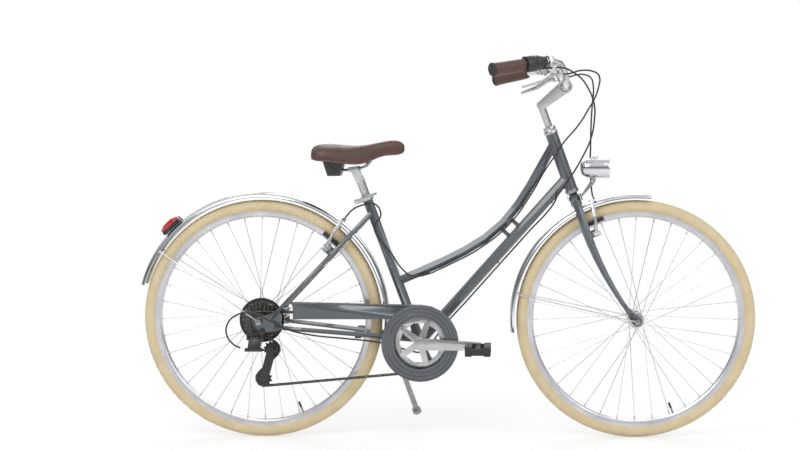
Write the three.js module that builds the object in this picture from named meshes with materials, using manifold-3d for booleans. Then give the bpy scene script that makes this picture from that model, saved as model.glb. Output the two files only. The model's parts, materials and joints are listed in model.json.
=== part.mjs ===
// A step-through city bike standing upright, modelled in millimetres.
// X runs forward, Y to the left and Z up from the ground; the drive side faces -Y.
// The sizes below count X from the rear axle, and the finished bike is centred at the end.
import * as THREE from 'three';
import { mergeVertices } from 'three/addons/utils/BufferGeometryUtils.js';
import Module from 'manifold-3d';

const wasm = await Module();
wasm.setup();

// General clearances
const fitClearance = 0.3;
const runningClearance = 0.5;
const cutOverrun = 4;
const weldDepth = 2;

// Wheels, size 37-622
const wheelRadius = 349;
const wheelbase = 1090;
const tyreWidth = 37;
const tyreShoulderDepth = 15;
const tyreFootInset = 2;
const rimLipRadius = 321;
const rimBedRadius = 313;
const rimInnerRadius = 299;
const rimWidth = 25;
const rimBedWidth = 20;
const rimInnerWidth = 22;
const valveLength = 34;
const valveRadius = 3;
const spokeCount = 36;
const spokeCrossings = 3;
const spokeRadius = 1;
const spokeElbowOffset = 1.3;
const flangeThickness = 5;
const wheelSegments = 28;
const hubSegments = 10;

// Hubs and axles
const frontHubWidth = 92;
const frontFlangeRadius = 22;
const frontFlangeReach = 31;
const frontBarrelRadius = 13;
const frontAxleRadius = 4.6;
const frontDropoutSpacing = 100;
const rearHubLeft = 46;
const rearFlangeRadius = 25;
const rearFlangeLeft = 36;
const rearFlangeRight = 20;
const rearBarrelRadius = 17;
const rearAxleRadius = 4.9;
const rearDropoutSpacing = 130;
const hubBoreClearance = 0.4;
const coneRadius = 8;
const axleNutRadius = 9;
const axleNutHeight = 8;
const dropoutThickness = 5;

// Frame
const bottomBracketDrop = 63;
const bottomBracketReach = 463;
const headAngle = 70;
const forkRake = 48;
const seatAngle = 70;
const seatTubeSetback = 5;
const seatTubeLength = 452;
const seatTubeRadius = 14.3;
const seatPostRadius = 12.7;
const seatTubeBoreDepth = 238;
const headTubeBottom = 422;
const headTubeLength = 170;
const headTubeRadius = 18;
const downTubeJoint = 36;
const downTubeRadius = 15.5;
const topTubeJoint = 144;
const topTubeRadius = 14.3;
const topTubeHeadAngle = 240.9;
const topTubeSeatAngle = 22.3;
const topTubeHeadReach = 279.6;
const topTubeSeatReach = 338;
const topTubeSeatHeight = 186;
const strutReach = 401;
const strutSpacing = 40;
const strutLength = 46;
const strutRadius = 6.5;
const bottomBracketRadius = 20;
const bottomBracketWidth = 68;
const cartridgeRadius = 16.7;
const cartridgeFlangeRadius = 21;
const cartridgeFlangeThickness = 2.5;
const spindleRadius = 8;
const stayRadius = 8;
const stayEndRadius = 6.5;
const stayEndSide = 70.8;
const seatStayTopSide = 17;
const seatStayRun = 274;
const seatStayRise = 289;
const chainStayTopSide = 22;
const chainStayDrop = 7;
const chainStayWaist = 34;
const stayEndReach = 44;
const seatStayEndRise = 20;
const chainStayEndDrop = 15;
const bridgeRadius = 7;
const cableStopRadius = 4;
const cableStopHeight = 2.2;
const lowerStopReach = 321;
const upperStopReach = 556;
const topTubeStopShares = [0.13, 0.42, 0.86];
const topTubeStopTurn = 45;

// Rim brakes
const brakePostRadius = 4.5;
const brakePostLength = 37;
const brakeBossRadius = 7;
const brakeBossLength = 17;
const brakeBossFromAxle = 282;
const brakeArmLength = 98;
const brakeArmLean = 12;
const brakeArmTopSide = 35;
const brakeArmEyeRadius = 8;
const brakeArmWidth = 8;
const brakeTrackRadius = 311;
const brakeArmTopRadius = 5.5;
const brakePadLength = 56;
const brakePadHeight = 10;
const brakePadThickness = 9;
const brakePadGap = 2;
const brakePadReach = 34;
const brakePadStudRadius = 3.2;

// Fork
const steererRadius = 12.7;
const steererBottom = 392;
const steererTop = 612;
const crownRadius = 17;
const crownHeight = 30;
const crownDrop = 5;
const crownBarRadius = 12;
const forkHeadReach = 129.5;
const forkTipReach = 119.1;
const forkHeadAngle = 286.4;
const forkTipAngle = 127.1;
const forkTopBack = 174;
const forkTopRise = 341;
const forkTipBack = 16;
const forkTipRise = 17;
const bladeTopRadius = 13.5;
const bladeTipRadius = 7;
const bladeTopSide = 22;
const bladeBowShare = 0.1;
const bladeSide = 46;
const bladeTipSide = 55.5;

// Headset, stem and handlebar
const headsetRadius = 20;
const headsetCupHeight = 11;
const headsetSeatRadius = 15.2;
const locknutRadius = 18;
const locknutHeight = 10;
const quillRadius = 10.9;
const quillBottom = 548;
const stemKnee = 690;
const stemReach = 72;
const stemRise = 44;
const stemClampRadius = 21;
const stemClampWidth = 46;
const stemThickness = 26;
const barRadius = 12.7;
const barTubeRadius = 11.1;
const barCentreWidth = 70;
const gripEndReach = 207;
const gripEndRise = 32;
const gripEndSide = 300;
const gripHeading = 33.4;
const gripRiseAngle = 9;
const barStraight = 198;
const barBendReach = 44;
const barCentreReach = 82;
const gripRadius = 17;
const gripCapRadius = 18.5;
const gripCapLength = 8;
const gripLengthRight = 108;
const gripLengthLeft = 124;
const shifterGripLength = 32;
const shifterGripRadius = 22.5;
const shifterHousingLength = 34;
const shifterHousingRadius = 21;
const shifterNoseRadius = 15;
const bracketRingRadius = 16.5;
const bracketRingWidth = 16;
const leverPivotSpot = [845, -165, 1055];
const leverTipSpot = [762, -232, 1017];
const leverEyeRadius = 8;
const leverEyeWidth = 7;
const leverLugWidth = 7;
const leverPinRadius = 2.5;
const leverBow = 6;
const leverRadius = 5.5;
const leverTipRadius = 6.5;
const bracketPlace = 190;
const barrelStartSpot = [851, -176, 1049];
const barrelEndSpot = [868, -170, 1051];
const barrelRadius = 4;

// Bell
const bellPlace = 168;
const bellRadius = 34;
const bellHeight = 25;
const bellShares = [[1, 0], [0.93, 0.5], [0.6, 0.88], [0, 1]];
const bellStandOff = 24;
const bellWall = 1.6;
const bellPostRadius = 4;
const bellClampWidth = 12;
const bellLeverLength = 30;
const bellLeverThickness = 4;

// Headlamp
const lampRadius = 30;
const lampLength = 84;
const lampRearReach = 164;
const lampHeight = 441;
const lampWall = 2;
const lampShares = [[0, 0], [0.45, 0.02], [0.83, 0.14], [1, 0.36], [1, 1]];
const lampLensDepth = 6;
const lampBowlDepth = 26;
const lampPivotReach = 39;
const lampPivotDrop = 37;
const lampLugWidth = 8;
const lampLugRadius = 7;
const lampKnobRadius = 8;
const lampFootWidth = 9;
const lampFootHeight = 20;

// Mudguards
const guardRadius = 372;
const guardDepth = 15;
const guardWidth = 46;
const guardThickness = 1.5;
const guardShares = [[1, 1], [0.5, 0.08], [-0.5, 0.08], [-1, 1]];
const frontGuardRadius = 369;
const frontGuardFront = 83.5;
const frontGuardBack = 186;
const rearGuardFront = -7;
const rearGuardBack = 163.8;
const frontStayAngle = 167.7;
const rearStayAngle = 146;
const guardStayRadius = 2;
const stayEyeRadius = 7;
const stayEyeThickness = 4;
const stayKneeReach = 22;
const guardTabWidth = 16;

// Drive train
const chainPitch = 12.7;
const chainringTeeth = 42;
const cogTeeth = [14, 16, 18, 21, 24, 28];
const pulleyTeeth = 11;
const cogSpacing = 5.5;
const smallCogSide = 58.5;
const chainringSide = 48;
const sprocketThickness = 2;
const toothDepth = 4;
const toothHeight = 3.2;
const chainHeight = 7.2;
const chainWidth = 6.4;
const chainPlate = 1.4;
const chainRollerHalf = 2.4;
const crankLength = 170;
const crankAngle = -2;
const crankBossRadius = 17;
const crankEyeRadius = 12;
const crankThickness = 12;
const rightCrankSide = 67;
const leftCrankSide = 57;
const spiderThickness = 5;
const spiderReach = 70;
const spiderWidth = 15;
const spiderArms = 5;
const chainringBore = 60;
const freewheelBore = 16.5;
const freewheelBodyRadius = 23.5;
const protectorRadius = 65;
const protectorThickness = 1.6;
const pedalLength = 72;
const pedalWidth = 94;
const pedalHeight = 26;
const pedalBlock = 19;
const pedalPlate = 6;
const pedalSpindleRadius = 4.6;
const pedalGap = 3;
const pedalBarrelRadius = 10;

// Rear derailleur
const upperPulleyReach = 33.8;
const upperPulleyDrop = 80;
const cageLength = 89;
const cageStartAngle = 258;
const cageSearch = 8;
const cagePlateThickness = 1.5;
const cagePlateOuter = 66;
const cagePlateInner = 52.6;
const pulleyPinRadius = 2.6;
const linkLength = 38;
const linkAngle = 40;
const linkRear = 30;
const linkFront = 6;
const linkPivotDrop = 48;
const linkPivotSide = 68;
const linkThickness = 5;
const linkEarWidth = 6.5;
const linkEarRadius = 5.5;
const linkBoltRadius = 2.2;
const derailleurHeadWidth = 9;
const derailleurHeadRadius = 9;
const cagePivotRadius = 4;
const cagePlateRadius = 12;
const pulleyBossRadius = 7;
const pulleyBossWidth = 11.2;

// Chain guard
const guardRingOuter = 112;
const guardRingInner = 76;
const guardFaceSide = 60;
const guardFaceThickness = 1.6;
const guardRidge = 1.8;
const guardValley = 0.6;
const guardSegments = 20;
const guardSkirtDepth = 15;
const guardSkirtEnd = -108;
const guardArmRear = 96;
const guardArmTop = 56;
const guardArmBottom = 7;
const guardArmTopAngle = 95;
const guardSkirtStart = 90;
const guardArmBottomAngle = 141;
const guardTabReach = 110;
const guardTabRise = 34;
const guardTabEndReach = 93.5;
const guardTabEndRise = 54.5;
const guardTabRadius = 4;
const guardEyeBore = 10;
const guardEyeRadius = 20;
const guardEyeSide = -39.1;
const guardEyeAngle = 297;

// Seat
const seatInsertion = 110;
const seatHeadHeight = 62;
const seatHeadLength = 28;
const seatHeadDepth = 14;
const seatClampRadius = 19;
const seatClampHeight = 15;
const seatLugReach = 12;
const seatLugWidth = 24;
const seatLugRadius = 7;
const seatPivotStandOff = 9;
const seatLeverThickness = 7;
const seatLeverLength = 66;
const seatLeverTip = [341, -30, 720];
const railRadius = 3.5;
const railSpacing = 44;
const railFlatIndex = 3;
const railSpots = [
  [200, -30, 800],
  [214, -26, 788],
  [241, -22, 784],
  [256, -22, 786],
  [271, -22, 788],
  [286, -22, 790],
  [301, -22, 793],
  [335, -13, 831],
  [352, -9, 836],
  [362, -6, 838],
];
const suspensionSpots = [[213, 0, 768], [212, 0, 834]];
const suspensionBottom = [36, 46];
const suspensionTop = [70, 84];
const saddleSkirtThickness = 8;
const saddlePadding = 22;
const saddleShares = [[1, 0], [1, 0.45], [0.9, 0.78], [0.6, 0.95], [0.2, 1]];
const saddleSections = [
  [150, 46, 844, 822],
  [157, 72, 855, 815],
  [175, 86, 860, 812],
  [200, 89, 861, 811],
  [225, 85, 859.5, 808],
  [250, 72, 856.5, 804],
  [275, 54, 855, 801],
  [300, 40, 857, 803],
  [325, 30, 861, 815],
  [350, 25, 866.5, 826],
  [378, 23, 871.5, 828],
  [400, 21, 871, 829],
  [412, 16, 864, 834],
  [417, 8, 856, 842],
];

// Stand
const standPivotReach = 379;
const standPivotHeight = 262;
const standPivotSide = 30;
const standFootReach = 436;
const standFootHeight = 35;
const standFootSide = 170;
const standHinge = [0.239, 0.809, 0.536];
const standRadius = 8;
const standEyeRadius = 13;
const standEyeThickness = 16;
const standPinRadius = 5;
const standFootRadius = 14;
const standPlateLength = 40;
const standPlateWidth = 60;
const standPlateThickness = 6;
const standPlateHeight = 290;
const standPostSide = 6;
const standPostRadius = 8;

// Tail lamp
const tailLampAngle = 134;
const tailLampLength = 62;
const tailLampWidth = 44;
const tailLampHeight = 22;
const tailBaseHeight = 9;
const tailLensDepth = 11;

// Cables
const housingRadius = 2.4;
const cableStopGap = 1.6;
const frontBrakeRoute = [
  [868.5, 170, 1051.2],
  [905, 150, 1062],
  [940, 122, 1066],
  [962, 98, 1054],
  [967, 80, 1033],
  [967, 66, 1007],
  [964, 54, 985],
  [960, 45, 930],
  [958, 41, 850],
  [957, 40, 800],
  [958, 39, 770],
  [960, 37, 742],
  [962, 32, 720],
  [964, 20, 708],
  [965, 4, 704.5],
  [965, -12, 703.5],
  [965, -27, 703],
];
const rearBrakeRoute = [
  [868.5, -170, 1051.2],
  [890, -158, 1055],
  [910, -138, 1062],
  [932, -112, 1066],
  [956, -85, 1064],
  [970, -68, 1058],
  [977, -58, 1046],
  [974, -48, 1020],
  [964, -42, 990],
  [947, -36, 960],
  [923, -31, 920],
  [871, -29, 857],
  [853, -24, 828],
];
const rearLoopRoute = [
  [438, -21, 478],
  [414, -23, 494],
  [378, -24, 545],
  [330, -24, 625],
  [346, -24, 646],
  [348, -27, 667],
  [331, -30, 688],
  [305, -24, 686],
  [284, -10, 680],
  [266, 10, 671],
  [252, 26, 660],
  [243, 30, 650],
  [239, 24, 644],
  [237, 8, 642],
  [236.5, -10, 642],
  [236, -27, 642],
];
const gearStartRoute = [
  [850, -207, 1068],
  [862, -190, 1069],
  [880, -175, 1066],
  [900, -157, 1056],
  [922, -133, 1041],
  [944, -104, 1012],
  [957, -80, 985],
  [963, -66, 959],
  [963, -56, 934],
  [955, -46, 880],
  [932, -38, 826],
  [893, -32, 760],
  [872, -26, 730],
  [858, -14, 707],
];
const gearEndRoute = [
  [497, -4, 283],
  [484, -8, 262],
  [464, -14, 253],
  [430, -27, 259],
  [395, -37, 272],
  [365, -40, 281],
  [325, -50, 290],
  [240, -63, 301],
  [150, -72, 312],
  [80, -78, 330],
  [20, -85, 362],
  [-20, -87, 378],
  [-60, -87, 372],
  [-88, -86, 345],
  [-90, -85, 312],
  [-74, -84, 288],
  [-52, -86, 276],
];

const halfTurn = Math.PI;
const fullTurn = 2 * Math.PI;
const radians = THREE.MathUtils.degToRad;

// Points and directions
function point(x, y, z) {
  return new THREE.Vector3(x, y, z);
}

function along(start, direction, distance) {
  return start.clone().addScaledVector(direction, distance);
}

function heading(degreesUp) {
  return point(Math.cos(radians(degreesUp)), 0, Math.sin(radians(degreesUp)));
}

function mirrored(vector) {
  return point(vector.x, -vector.y, vector.z);
}

const left = point(0, 1, 0);
const rearAxleCentre = point(0, 0, wheelRadius);
const frontAxleCentre = point(wheelbase, 0, wheelRadius);
const bottomBracket = point(bottomBracketReach, 0, wheelRadius - bottomBracketDrop);
const steeringUp = heading(180 - headAngle);
const steeringForward = heading(90 - headAngle);
const steeringFoot = along(frontAxleCentre, steeringForward, -forkRake);
const seatUp = heading(180 - seatAngle);
const seatFoot = along(bottomBracket, point(1, 0, 0), -seatTubeSetback);

function onSteering(height, forward = 0, side = 0) {
  const onAxis = along(steeringFoot, steeringUp, height);
  return along(onAxis, steeringForward, forward).setY(side);
}

function onSeatTube(height, forward = 0, side = 0) {
  const across = point(seatUp.z, 0, -seatUp.x);
  return along(along(seatFoot, seatUp, height), across, forward).setY(side);
}

// Solids and surfaces
function bare(geometry) {
  const copy = geometry.clone();
  copy.deleteAttribute('normal');
  copy.deleteAttribute('uv');
  return mergeVertices(copy, 1e-4);
}

function signedVolume(geometry) {
  const spots = geometry.getAttribute('position');
  const order = geometry.getIndex();
  const a = new THREE.Vector3();
  const b = new THREE.Vector3();
  const c = new THREE.Vector3();
  let sum = 0;
  for (let i = 0; i < order.count; i += 3) {
    a.fromBufferAttribute(spots, order.getX(i));
    b.fromBufferAttribute(spots, order.getX(i + 1));
    c.fromBufferAttribute(spots, order.getX(i + 2));
    sum += a.dot(b.cross(c));
  }
  return sum / 6;
}

// Merges the corners of a closed surface and turns its faces outwards.
function closed(geometry) {
  const merged = bare(geometry);
  const corners = Array.from(merged.getIndex().array);
  const kept = [];
  for (let i = 0; i < corners.length; i += 3) {
    const [a, b, c] = corners.slice(i, i + 3);
    if (a !== b && b !== c && c !== a) kept.push(a, b, c);
  }
  merged.setIndex(kept);
  if (signedVolume(merged) < 0) {
    const order = merged.getIndex();
    for (let i = 0; i < order.count; i += 3) {
      const first = order.getX(i);
      order.setX(i, order.getX(i + 1));
      order.setX(i + 1, first);
    }
  }
  return merged;
}

function solid(geometry) {
  const surface = closed(geometry);
  const vertProperties = new Float32Array(surface.getAttribute('position').array);
  const triVerts = new Uint32Array(surface.getIndex().array);
  return new wasm.Manifold(new wasm.Mesh({ numProp: 3, vertProperties, triVerts }));
}

function surfaceOf(body) {
  const mesh = body.getMesh();
  const geometry = new THREE.BufferGeometry();
  geometry.setAttribute('position', new THREE.BufferAttribute(new Float32Array(mesh.vertProperties), 3));
  geometry.setIndex(new THREE.BufferAttribute(new Uint32Array(mesh.triVerts), 1));
  return geometry;
}

function join(geometries) {
  const [first, ...others] = geometries.map(solid);
  return surfaceOf(others.reduce((whole, next) => whole.add(next), first));
}

function cut(geometry, tools) {
  return surfaceOf(tools.map(solid).reduce((whole, tool) => whole.subtract(tool), solid(geometry)));
}

// Points a shape built along +Y in another direction and moves it to its place.
function aim(geometry, origin, direction) {
  const turn = new THREE.Quaternion().setFromUnitVectors(left, direction.clone().normalize());
  return geometry.applyQuaternion(turn).translate(origin.x, origin.y, origin.z);
}

function rod(start, end, radius, sides = 12, endRadius = radius) {
  const length = start.distanceTo(end);
  const geometry = new THREE.CylinderGeometry(endRadius, radius, length, sides);
  return aim(geometry.translate(0, length / 2, 0), start, end.clone().sub(start));
}

// The corner radius of a faceted bore whose flats stay clear of a round part.
function clearing(radius, sides) {
  return radius / Math.cos(halfTurn / sides);
}

function bore(start, end, radius, sides = 8) {
  return rod(start, end, clearing(radius, sides), sides);
}

// A revolved solid: each profile entry is a radius and a place along the axis.
function revolve(profile, segments, origin = point(0, 0, 0), direction = left) {
  const points = profile.map(([radius, place]) => new THREE.Vector2(radius, place));
  return aim(new THREE.LatheGeometry(points, segments), origin, direction);
}

function ring(outer, inner, from, to, segments, origin, direction = left) {
  const hole = clearing(inner, segments);
  const profile = [[hole, from], [outer, from], [outer, to], [hole, to], [hole, from]];
  return revolve(profile, segments, origin, direction);
}

function roundSection(radius, sides) {
  const corners = [];
  for (let i = 0; i < sides; i += 1) {
    const angle = (fullTurn * i) / sides;
    corners.push(new THREE.Vector2(radius * Math.cos(angle), radius * Math.sin(angle)));
  }
  return new THREE.Shape(corners);
}

function tube(path, radius, sides, steps) {
  const curve = Array.isArray(path) ? new THREE.CatmullRomCurve3(path) : path;
  return new THREE.ExtrudeGeometry(roundSection(radius, sides), { steps, extrudePath: curve });
}

// Joins rings of points into one closed skin with flat ends.
function loft(rings) {
  const size = rings[0].length;
  const spots = rings.flat().flatMap((spot) => [spot.x, spot.y, spot.z]);
  const order = [];
  for (let i = 0; i < rings.length - 1; i += 1) {
    for (let j = 0; j < size; j += 1) {
      const here = i * size + j;
      const beside = i * size + ((j + 1) % size);
      order.push(here, beside, here + size, beside, beside + size, here + size);
    }
  }
  const last = (rings.length - 1) * size;
  for (let j = 1; j < size - 1; j += 1) {
    order.push(0, j + 1, j, last, last + j, last + j + 1);
  }
  const geometry = new THREE.BufferGeometry();
  geometry.setAttribute('position', new THREE.Float32BufferAttribute(spots, 3));
  geometry.setIndex(order);
  return geometry;
}

function evenShares(steps) {
  return Array.from({ length: steps + 1 }, (_, i) => i / steps);
}

// A round tube whose radius may change along a curve, with a section at each share of its length.
function taper(curve, shares, sides, radiusAt) {
  const rings = shares.map((share) => {
    const centre = curve.getPointAt(share);
    const tangent = curve.getTangentAt(share);
    const across = left.clone().addScaledVector(tangent, -left.dot(tangent)).normalize();
    const upward = tangent.clone().cross(across);
    const radius = radiusAt(share);
    const round = [];
    for (let j = 0; j < sides; j += 1) {
      const angle = (fullTurn * j) / sides;
      round.push(along(along(centre, across, radius * Math.cos(angle)), upward, radius * Math.sin(angle)));
    }
    return round;
  });
  return loft(rings);
}

// A flat plate drawn in the side view, from one side place to another.
function sidePlate(shape, fromSide, toSide, curveSegments = 3) {
  const depth = toSide - fromSide;
  const geometry = new THREE.ExtrudeGeometry(shape, { depth, bevelEnabled: false, curveSegments });
  return geometry.rotateX(halfTurn / 2).translate(0, toSide, 0);
}

// The outline of a strap drawn round two circles in the side view.
function strap(start, startRadius, end, endRadius) {
  const across = Math.hypot(end.x - start.x, end.z - start.z);
  const aimAngle = Math.atan2(end.z - start.z, end.x - start.x);
  const spread = Math.acos((startRadius - endRadius) / across);
  const shape = new THREE.Shape();
  shape.absarc(start.x, start.z, startRadius, aimAngle + spread, aimAngle - spread + fullTurn, false);
  shape.absarc(end.x, end.z, endRadius, aimAngle - spread, aimAngle + spread, false);
  return shape;
}

function holeAt(centre, radius) {
  const hole = new THREE.Path();
  hole.absarc(centre.x, centre.z, radius, 0, fullTurn, true);
  return hole;
}

function box(length, width, height, centre) {
  return new THREE.BoxGeometry(length, width, height).translate(centre.x, centre.y, centre.z);
}

// Materials
function finish(color, roughness, metalness) {
  return new THREE.MeshStandardMaterial({ color, roughness, metalness });
}

const paint = finish(0x5a636b, 0.35, 0.3);
const chrome = finish(0xc9ccce, 0.2, 1);
const alloy = finish(0xb8babd, 0.4, 0.9);
const steel = finish(0x8d9092, 0.35, 0.9);
const darkSteel = finish(0x3c3833, 0.5, 0.8);
const rubber = finish(0xd2bd91, 0.85, 0);
const blackRubber = finish(0x1c1c1d, 0.8, 0);
const blackPlastic = finish(0x191a1c, 0.5, 0);
const leather = finish(0x4b2d26, 0.55, 0);
const clearPlastic = finish(0xe6edf0, 0.1, 0);
const redPlastic = finish(0xb01a14, 0.25, 0);

const bike = new THREE.Group();

function piece(name, geometry, material) {
  const mesh = new THREE.Mesh(closed(geometry), material);
  mesh.name = name;
  bike.add(mesh);
}

// Wheels
const facetShare = Math.cos(halfTurn / wheelSegments);

function tyre(axle) {
  const footRadius = rimBedRadius + fitClearance;
  const footHalf = rimBedWidth / 2 - tyreFootInset;
  const shoulderRadius = wheelRadius - tyreShoulderDepth;
  const half = [
    [footRadius, footHalf],
    [shoulderRadius, tyreWidth / 2],
  ];
  const otherHalf = half.map(([radius, side]) => [radius, -side]).reverse();
  return revolve([...half, [wheelRadius, 0], ...otherHalf, half[0]], wheelSegments, axle);
}

function rim(axle) {
  const half = [
    [rimBedRadius, rimBedWidth / 2],
    [rimLipRadius, rimWidth / 2],
    [rimInnerRadius, rimInnerWidth / 2],
  ];
  const otherHalf = half.map(([radius, side]) => [radius, -side]).reverse();
  const hoop = revolve([...half, ...otherHalf, half[0]], wheelSegments, axle);
  const valveHeading = heading(292);
  const valveTop = along(axle, valveHeading, rimInnerRadius + weldDepth);
  const valveEnd = along(axle, valveHeading, rimInnerRadius - valveLength);
  return join([hoop, rod(valveTop, valveEnd, valveRadius, 6)]);
}

// One flange's spokes lean forward and back in turn and cross each other on the way to the rim.
function flangeSpokes(axle, flangeSide, holeRadius, startAngle) {
  const holes = spokeCount / 2;
  const holeStep = fullTurn / holes;
  const reach = rimInnerRadius * facetShare - fitClearance;
  const spokes = [];
  for (let i = 0; i < holes; i += 1) {
    const lean = i % 2 === 0 ? 1 : -1;
    const hubAngle = startAngle + i * holeStep;
    const rimAngle = hubAngle + lean * spokeCrossings * holeStep;
    const side = flangeSide + lean * spokeElbowOffset;
    const hubEnd = point(holeRadius * Math.cos(hubAngle), side, holeRadius * Math.sin(hubAngle)).add(axle);
    const rimEnd = point(reach * Math.cos(rimAngle), 0, reach * Math.sin(rimAngle)).add(axle);
    spokes.push(rod(hubEnd, rimEnd, spokeRadius, 3));
  }
  return spokes;
}

function laced(shell, axle, leftSide, rightSide, flangeRadius) {
  const holeRadius = flangeRadius - weldDepth;
  const leftSpokes = flangeSpokes(axle, leftSide, holeRadius, 0);
  const rightSpokes = flangeSpokes(axle, -rightSide, holeRadius, fullTurn / spokeCount);
  return join([shell, ...leftSpokes, ...rightSpokes]);
}

function frontHub() {
  const hole = clearing(frontAxleRadius + hubBoreClearance, hubSegments);
  const half = frontHubWidth / 2;
  const flangeIn = frontFlangeReach - flangeThickness / 2;
  const flangeOut = frontFlangeReach + flangeThickness / 2;
  const profile = [
    [hole, -half],
    [frontBarrelRadius, -half],
    [frontBarrelRadius, -flangeOut],
    [frontFlangeRadius, -flangeOut],
    [frontFlangeRadius, -flangeIn],
    [frontBarrelRadius, -flangeIn],
    [frontBarrelRadius, flangeIn],
    [frontFlangeRadius, flangeIn],
    [frontFlangeRadius, flangeOut],
    [frontBarrelRadius, flangeOut],
    [frontBarrelRadius, half],
    [hole, half],
    [hole, -half],
  ];
  const shell = revolve(profile, hubSegments, frontAxleCentre);
  return laced(shell, frontAxleCentre, frontFlangeReach, frontFlangeReach, frontFlangeRadius);
}

const freewheelInner = smallCogSide - (cogTeeth.length - 1) * cogSpacing - sprocketThickness / 2;
const freewheelOuter = smallCogSide + sprocketThickness / 2;

function rearHub() {
  const hole = clearing(rearAxleRadius + hubBoreClearance, hubSegments);
  const stub = freewheelBore - fitClearance;
  const half = flangeThickness / 2;
  const profile = [
    [hole, -freewheelOuter],
    [stub, -freewheelOuter],
    [stub, -rearFlangeRight - half],
    [rearFlangeRadius, -rearFlangeRight - half],
    [rearFlangeRadius, -rearFlangeRight + half],
    [rearBarrelRadius, -rearFlangeRight + half],
    [rearBarrelRadius, rearFlangeLeft - half],
    [rearFlangeRadius, rearFlangeLeft - half],
    [rearFlangeRadius, rearFlangeLeft + half],
    [rearBarrelRadius, rearFlangeLeft + half],
    [rearBarrelRadius, rearHubLeft],
    [hole, rearHubLeft],
    [hole, -freewheelOuter],
  ];
  const shell = revolve(profile, hubSegments, rearAxleCentre);
  return laced(shell, rearAxleCentre, rearFlangeLeft, rearFlangeRight, rearFlangeRadius);
}

// An axle with a cone inside each dropout and a nut outside it.
function axle(centre, radius, spacing, rightCone, leftCone) {
  const inside = spacing / 2 - fitClearance;
  const outside = spacing / 2 + dropoutThickness + fitClearance + stayEyeThickness + fitClearance;
  const end = outside + axleNutHeight;
  const profile = [
    [0, -end],
    [axleNutRadius, -end],
    [axleNutRadius, -outside],
    [radius, -outside],
    [radius, -inside],
    [coneRadius, -inside],
    [coneRadius, -rightCone],
    [radius, -rightCone],
    [radius, leftCone],
    [coneRadius, leftCone],
    [coneRadius, inside],
    [radius, inside],
    [radius, outside],
    [axleNutRadius, outside],
    [axleNutRadius, end],
    [0, end],
  ];
  return revolve(profile, 6, centre);
}

piece('front_tyre', tyre(frontAxleCentre), rubber);
piece('front_rim', rim(frontAxleCentre), chrome);
piece('front_hub_and_spokes', frontHub(), chrome);
piece('rear_tyre', tyre(rearAxleCentre), rubber);
piece('rear_rim', rim(rearAxleCentre), chrome);
piece('rear_hub_and_spokes', rearHub(), chrome);
const frontCone = frontHubWidth / 2 + fitClearance;
piece('front_axle', axle(frontAxleCentre, frontAxleRadius, frontDropoutSpacing, frontCone, frontCone), steel);
const rightCone = freewheelOuter + fitClearance;
const leftCone = rearHubLeft + fitClearance;
piece('rear_axle', axle(rearAxleCentre, rearAxleRadius, rearDropoutSpacing, rightCone, leftCone), steel);

// Frame
const downTubeTop = onSteering(headTubeBottom + downTubeJoint);
const downDirection = downTubeTop.clone().sub(bottomBracket).normalize();
const downNormal = point(-downDirection.z, 0, downDirection.x);
const topTubeTop = onSteering(headTubeBottom + topTubeJoint);
const topTubeFoot = onSeatTube(topTubeSeatHeight, seatTubeRadius / 2);
const topTubeCurve = new THREE.CubicBezierCurve3(
  topTubeTop,
  along(topTubeTop, heading(topTubeHeadAngle), topTubeHeadReach),
  along(topTubeFoot, heading(topTubeSeatAngle), topTubeSeatReach),
  topTubeFoot,
);

function seatStaySpot(share, side) {
  const end = along(rearAxleCentre, point(1, 0, 0), stayEndReach);
  return point(end.x + seatStayRun * share, side, end.z + seatStayEndRise + seatStayRise * share);
}

function seatStayCurve(side) {
  const spots = [
    seatStaySpot(1, side * seatStayTopSide),
    seatStaySpot(0.92, side * chainStayWaist),
    seatStaySpot(0.6, side * (chainStayWaist + stayRadius)),
    seatStaySpot(0.1, side * (stayEndSide - fitClearance)),
    seatStaySpot(0, side * stayEndSide),
  ];
  return new THREE.CatmullRomCurve3(spots);
}

const chainStayTop = along(bottomBracket, point(-1, 0, 0), seatTubeRadius).setZ(bottomBracket.z + chainStayDrop);
const chainStayEnd = point(stayEndReach, 0, wheelRadius - chainStayEndDrop);

function chainStaySpot(share, side) {
  return chainStayTop.clone().lerp(chainStayEnd, share).setY(side);
}

function chainStayCurve(side) {
  const spots = [
    chainStaySpot(0, side * chainStayTopSide),
    chainStaySpot(0.22, side * chainStayWaist),
    chainStaySpot(0.6, side * (chainStayWaist + stayEndSide) / 2),
    chainStaySpot(0.92, side * (stayEndSide - fitClearance)),
    chainStaySpot(1, side * stayEndSide),
  ];
  return new THREE.CatmullRomCurve3(spots);
}

function stay(curve) {
  return taper(curve, evenShares(5), 6, (share) => THREE.MathUtils.lerp(stayRadius, stayEndRadius, share));
}

// The plate at a stay end, with the axle hole; the drive side reaches down for the derailleur.
const hangerReach = 8;
const hangerDrop = 28;
const hangerBoltRadius = 4;
const dropoutEyeRadius = 15;
const dropoutRootRadius = 10;

function rearDropout(side, hanger) {
  const spacing = rearDropoutSpacing / 2;
  const inner = Math.min(side * spacing, side * (spacing + dropoutThickness));
  const outer = inner + dropoutThickness;
  const upper = point(stayEndReach + dropoutRootRadius, 0, rearAxleCentre.z + seatStayEndRise);
  const lower = point(stayEndReach + dropoutRootRadius, 0, rearAxleCentre.z - chainStayEndDrop);
  const outline = new THREE.Shape();
  if (hanger) {
    const bolt = point(hangerReach, 0, rearAxleCentre.z - hangerDrop);
    outline.absarc(bolt.x, bolt.z, dropoutRootRadius, radians(170), radians(350), false);
  }
  outline.absarc(lower.x, lower.z, dropoutRootRadius, radians(270), fullTurn, false);
  outline.absarc(upper.x, upper.z, dropoutRootRadius, 0, radians(100), false);
  outline.absarc(rearAxleCentre.x, rearAxleCentre.z, dropoutEyeRadius, radians(110), radians(hanger ? 180 : 270), false);
  return sidePlate(outline, inner, outer);
}

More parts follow.
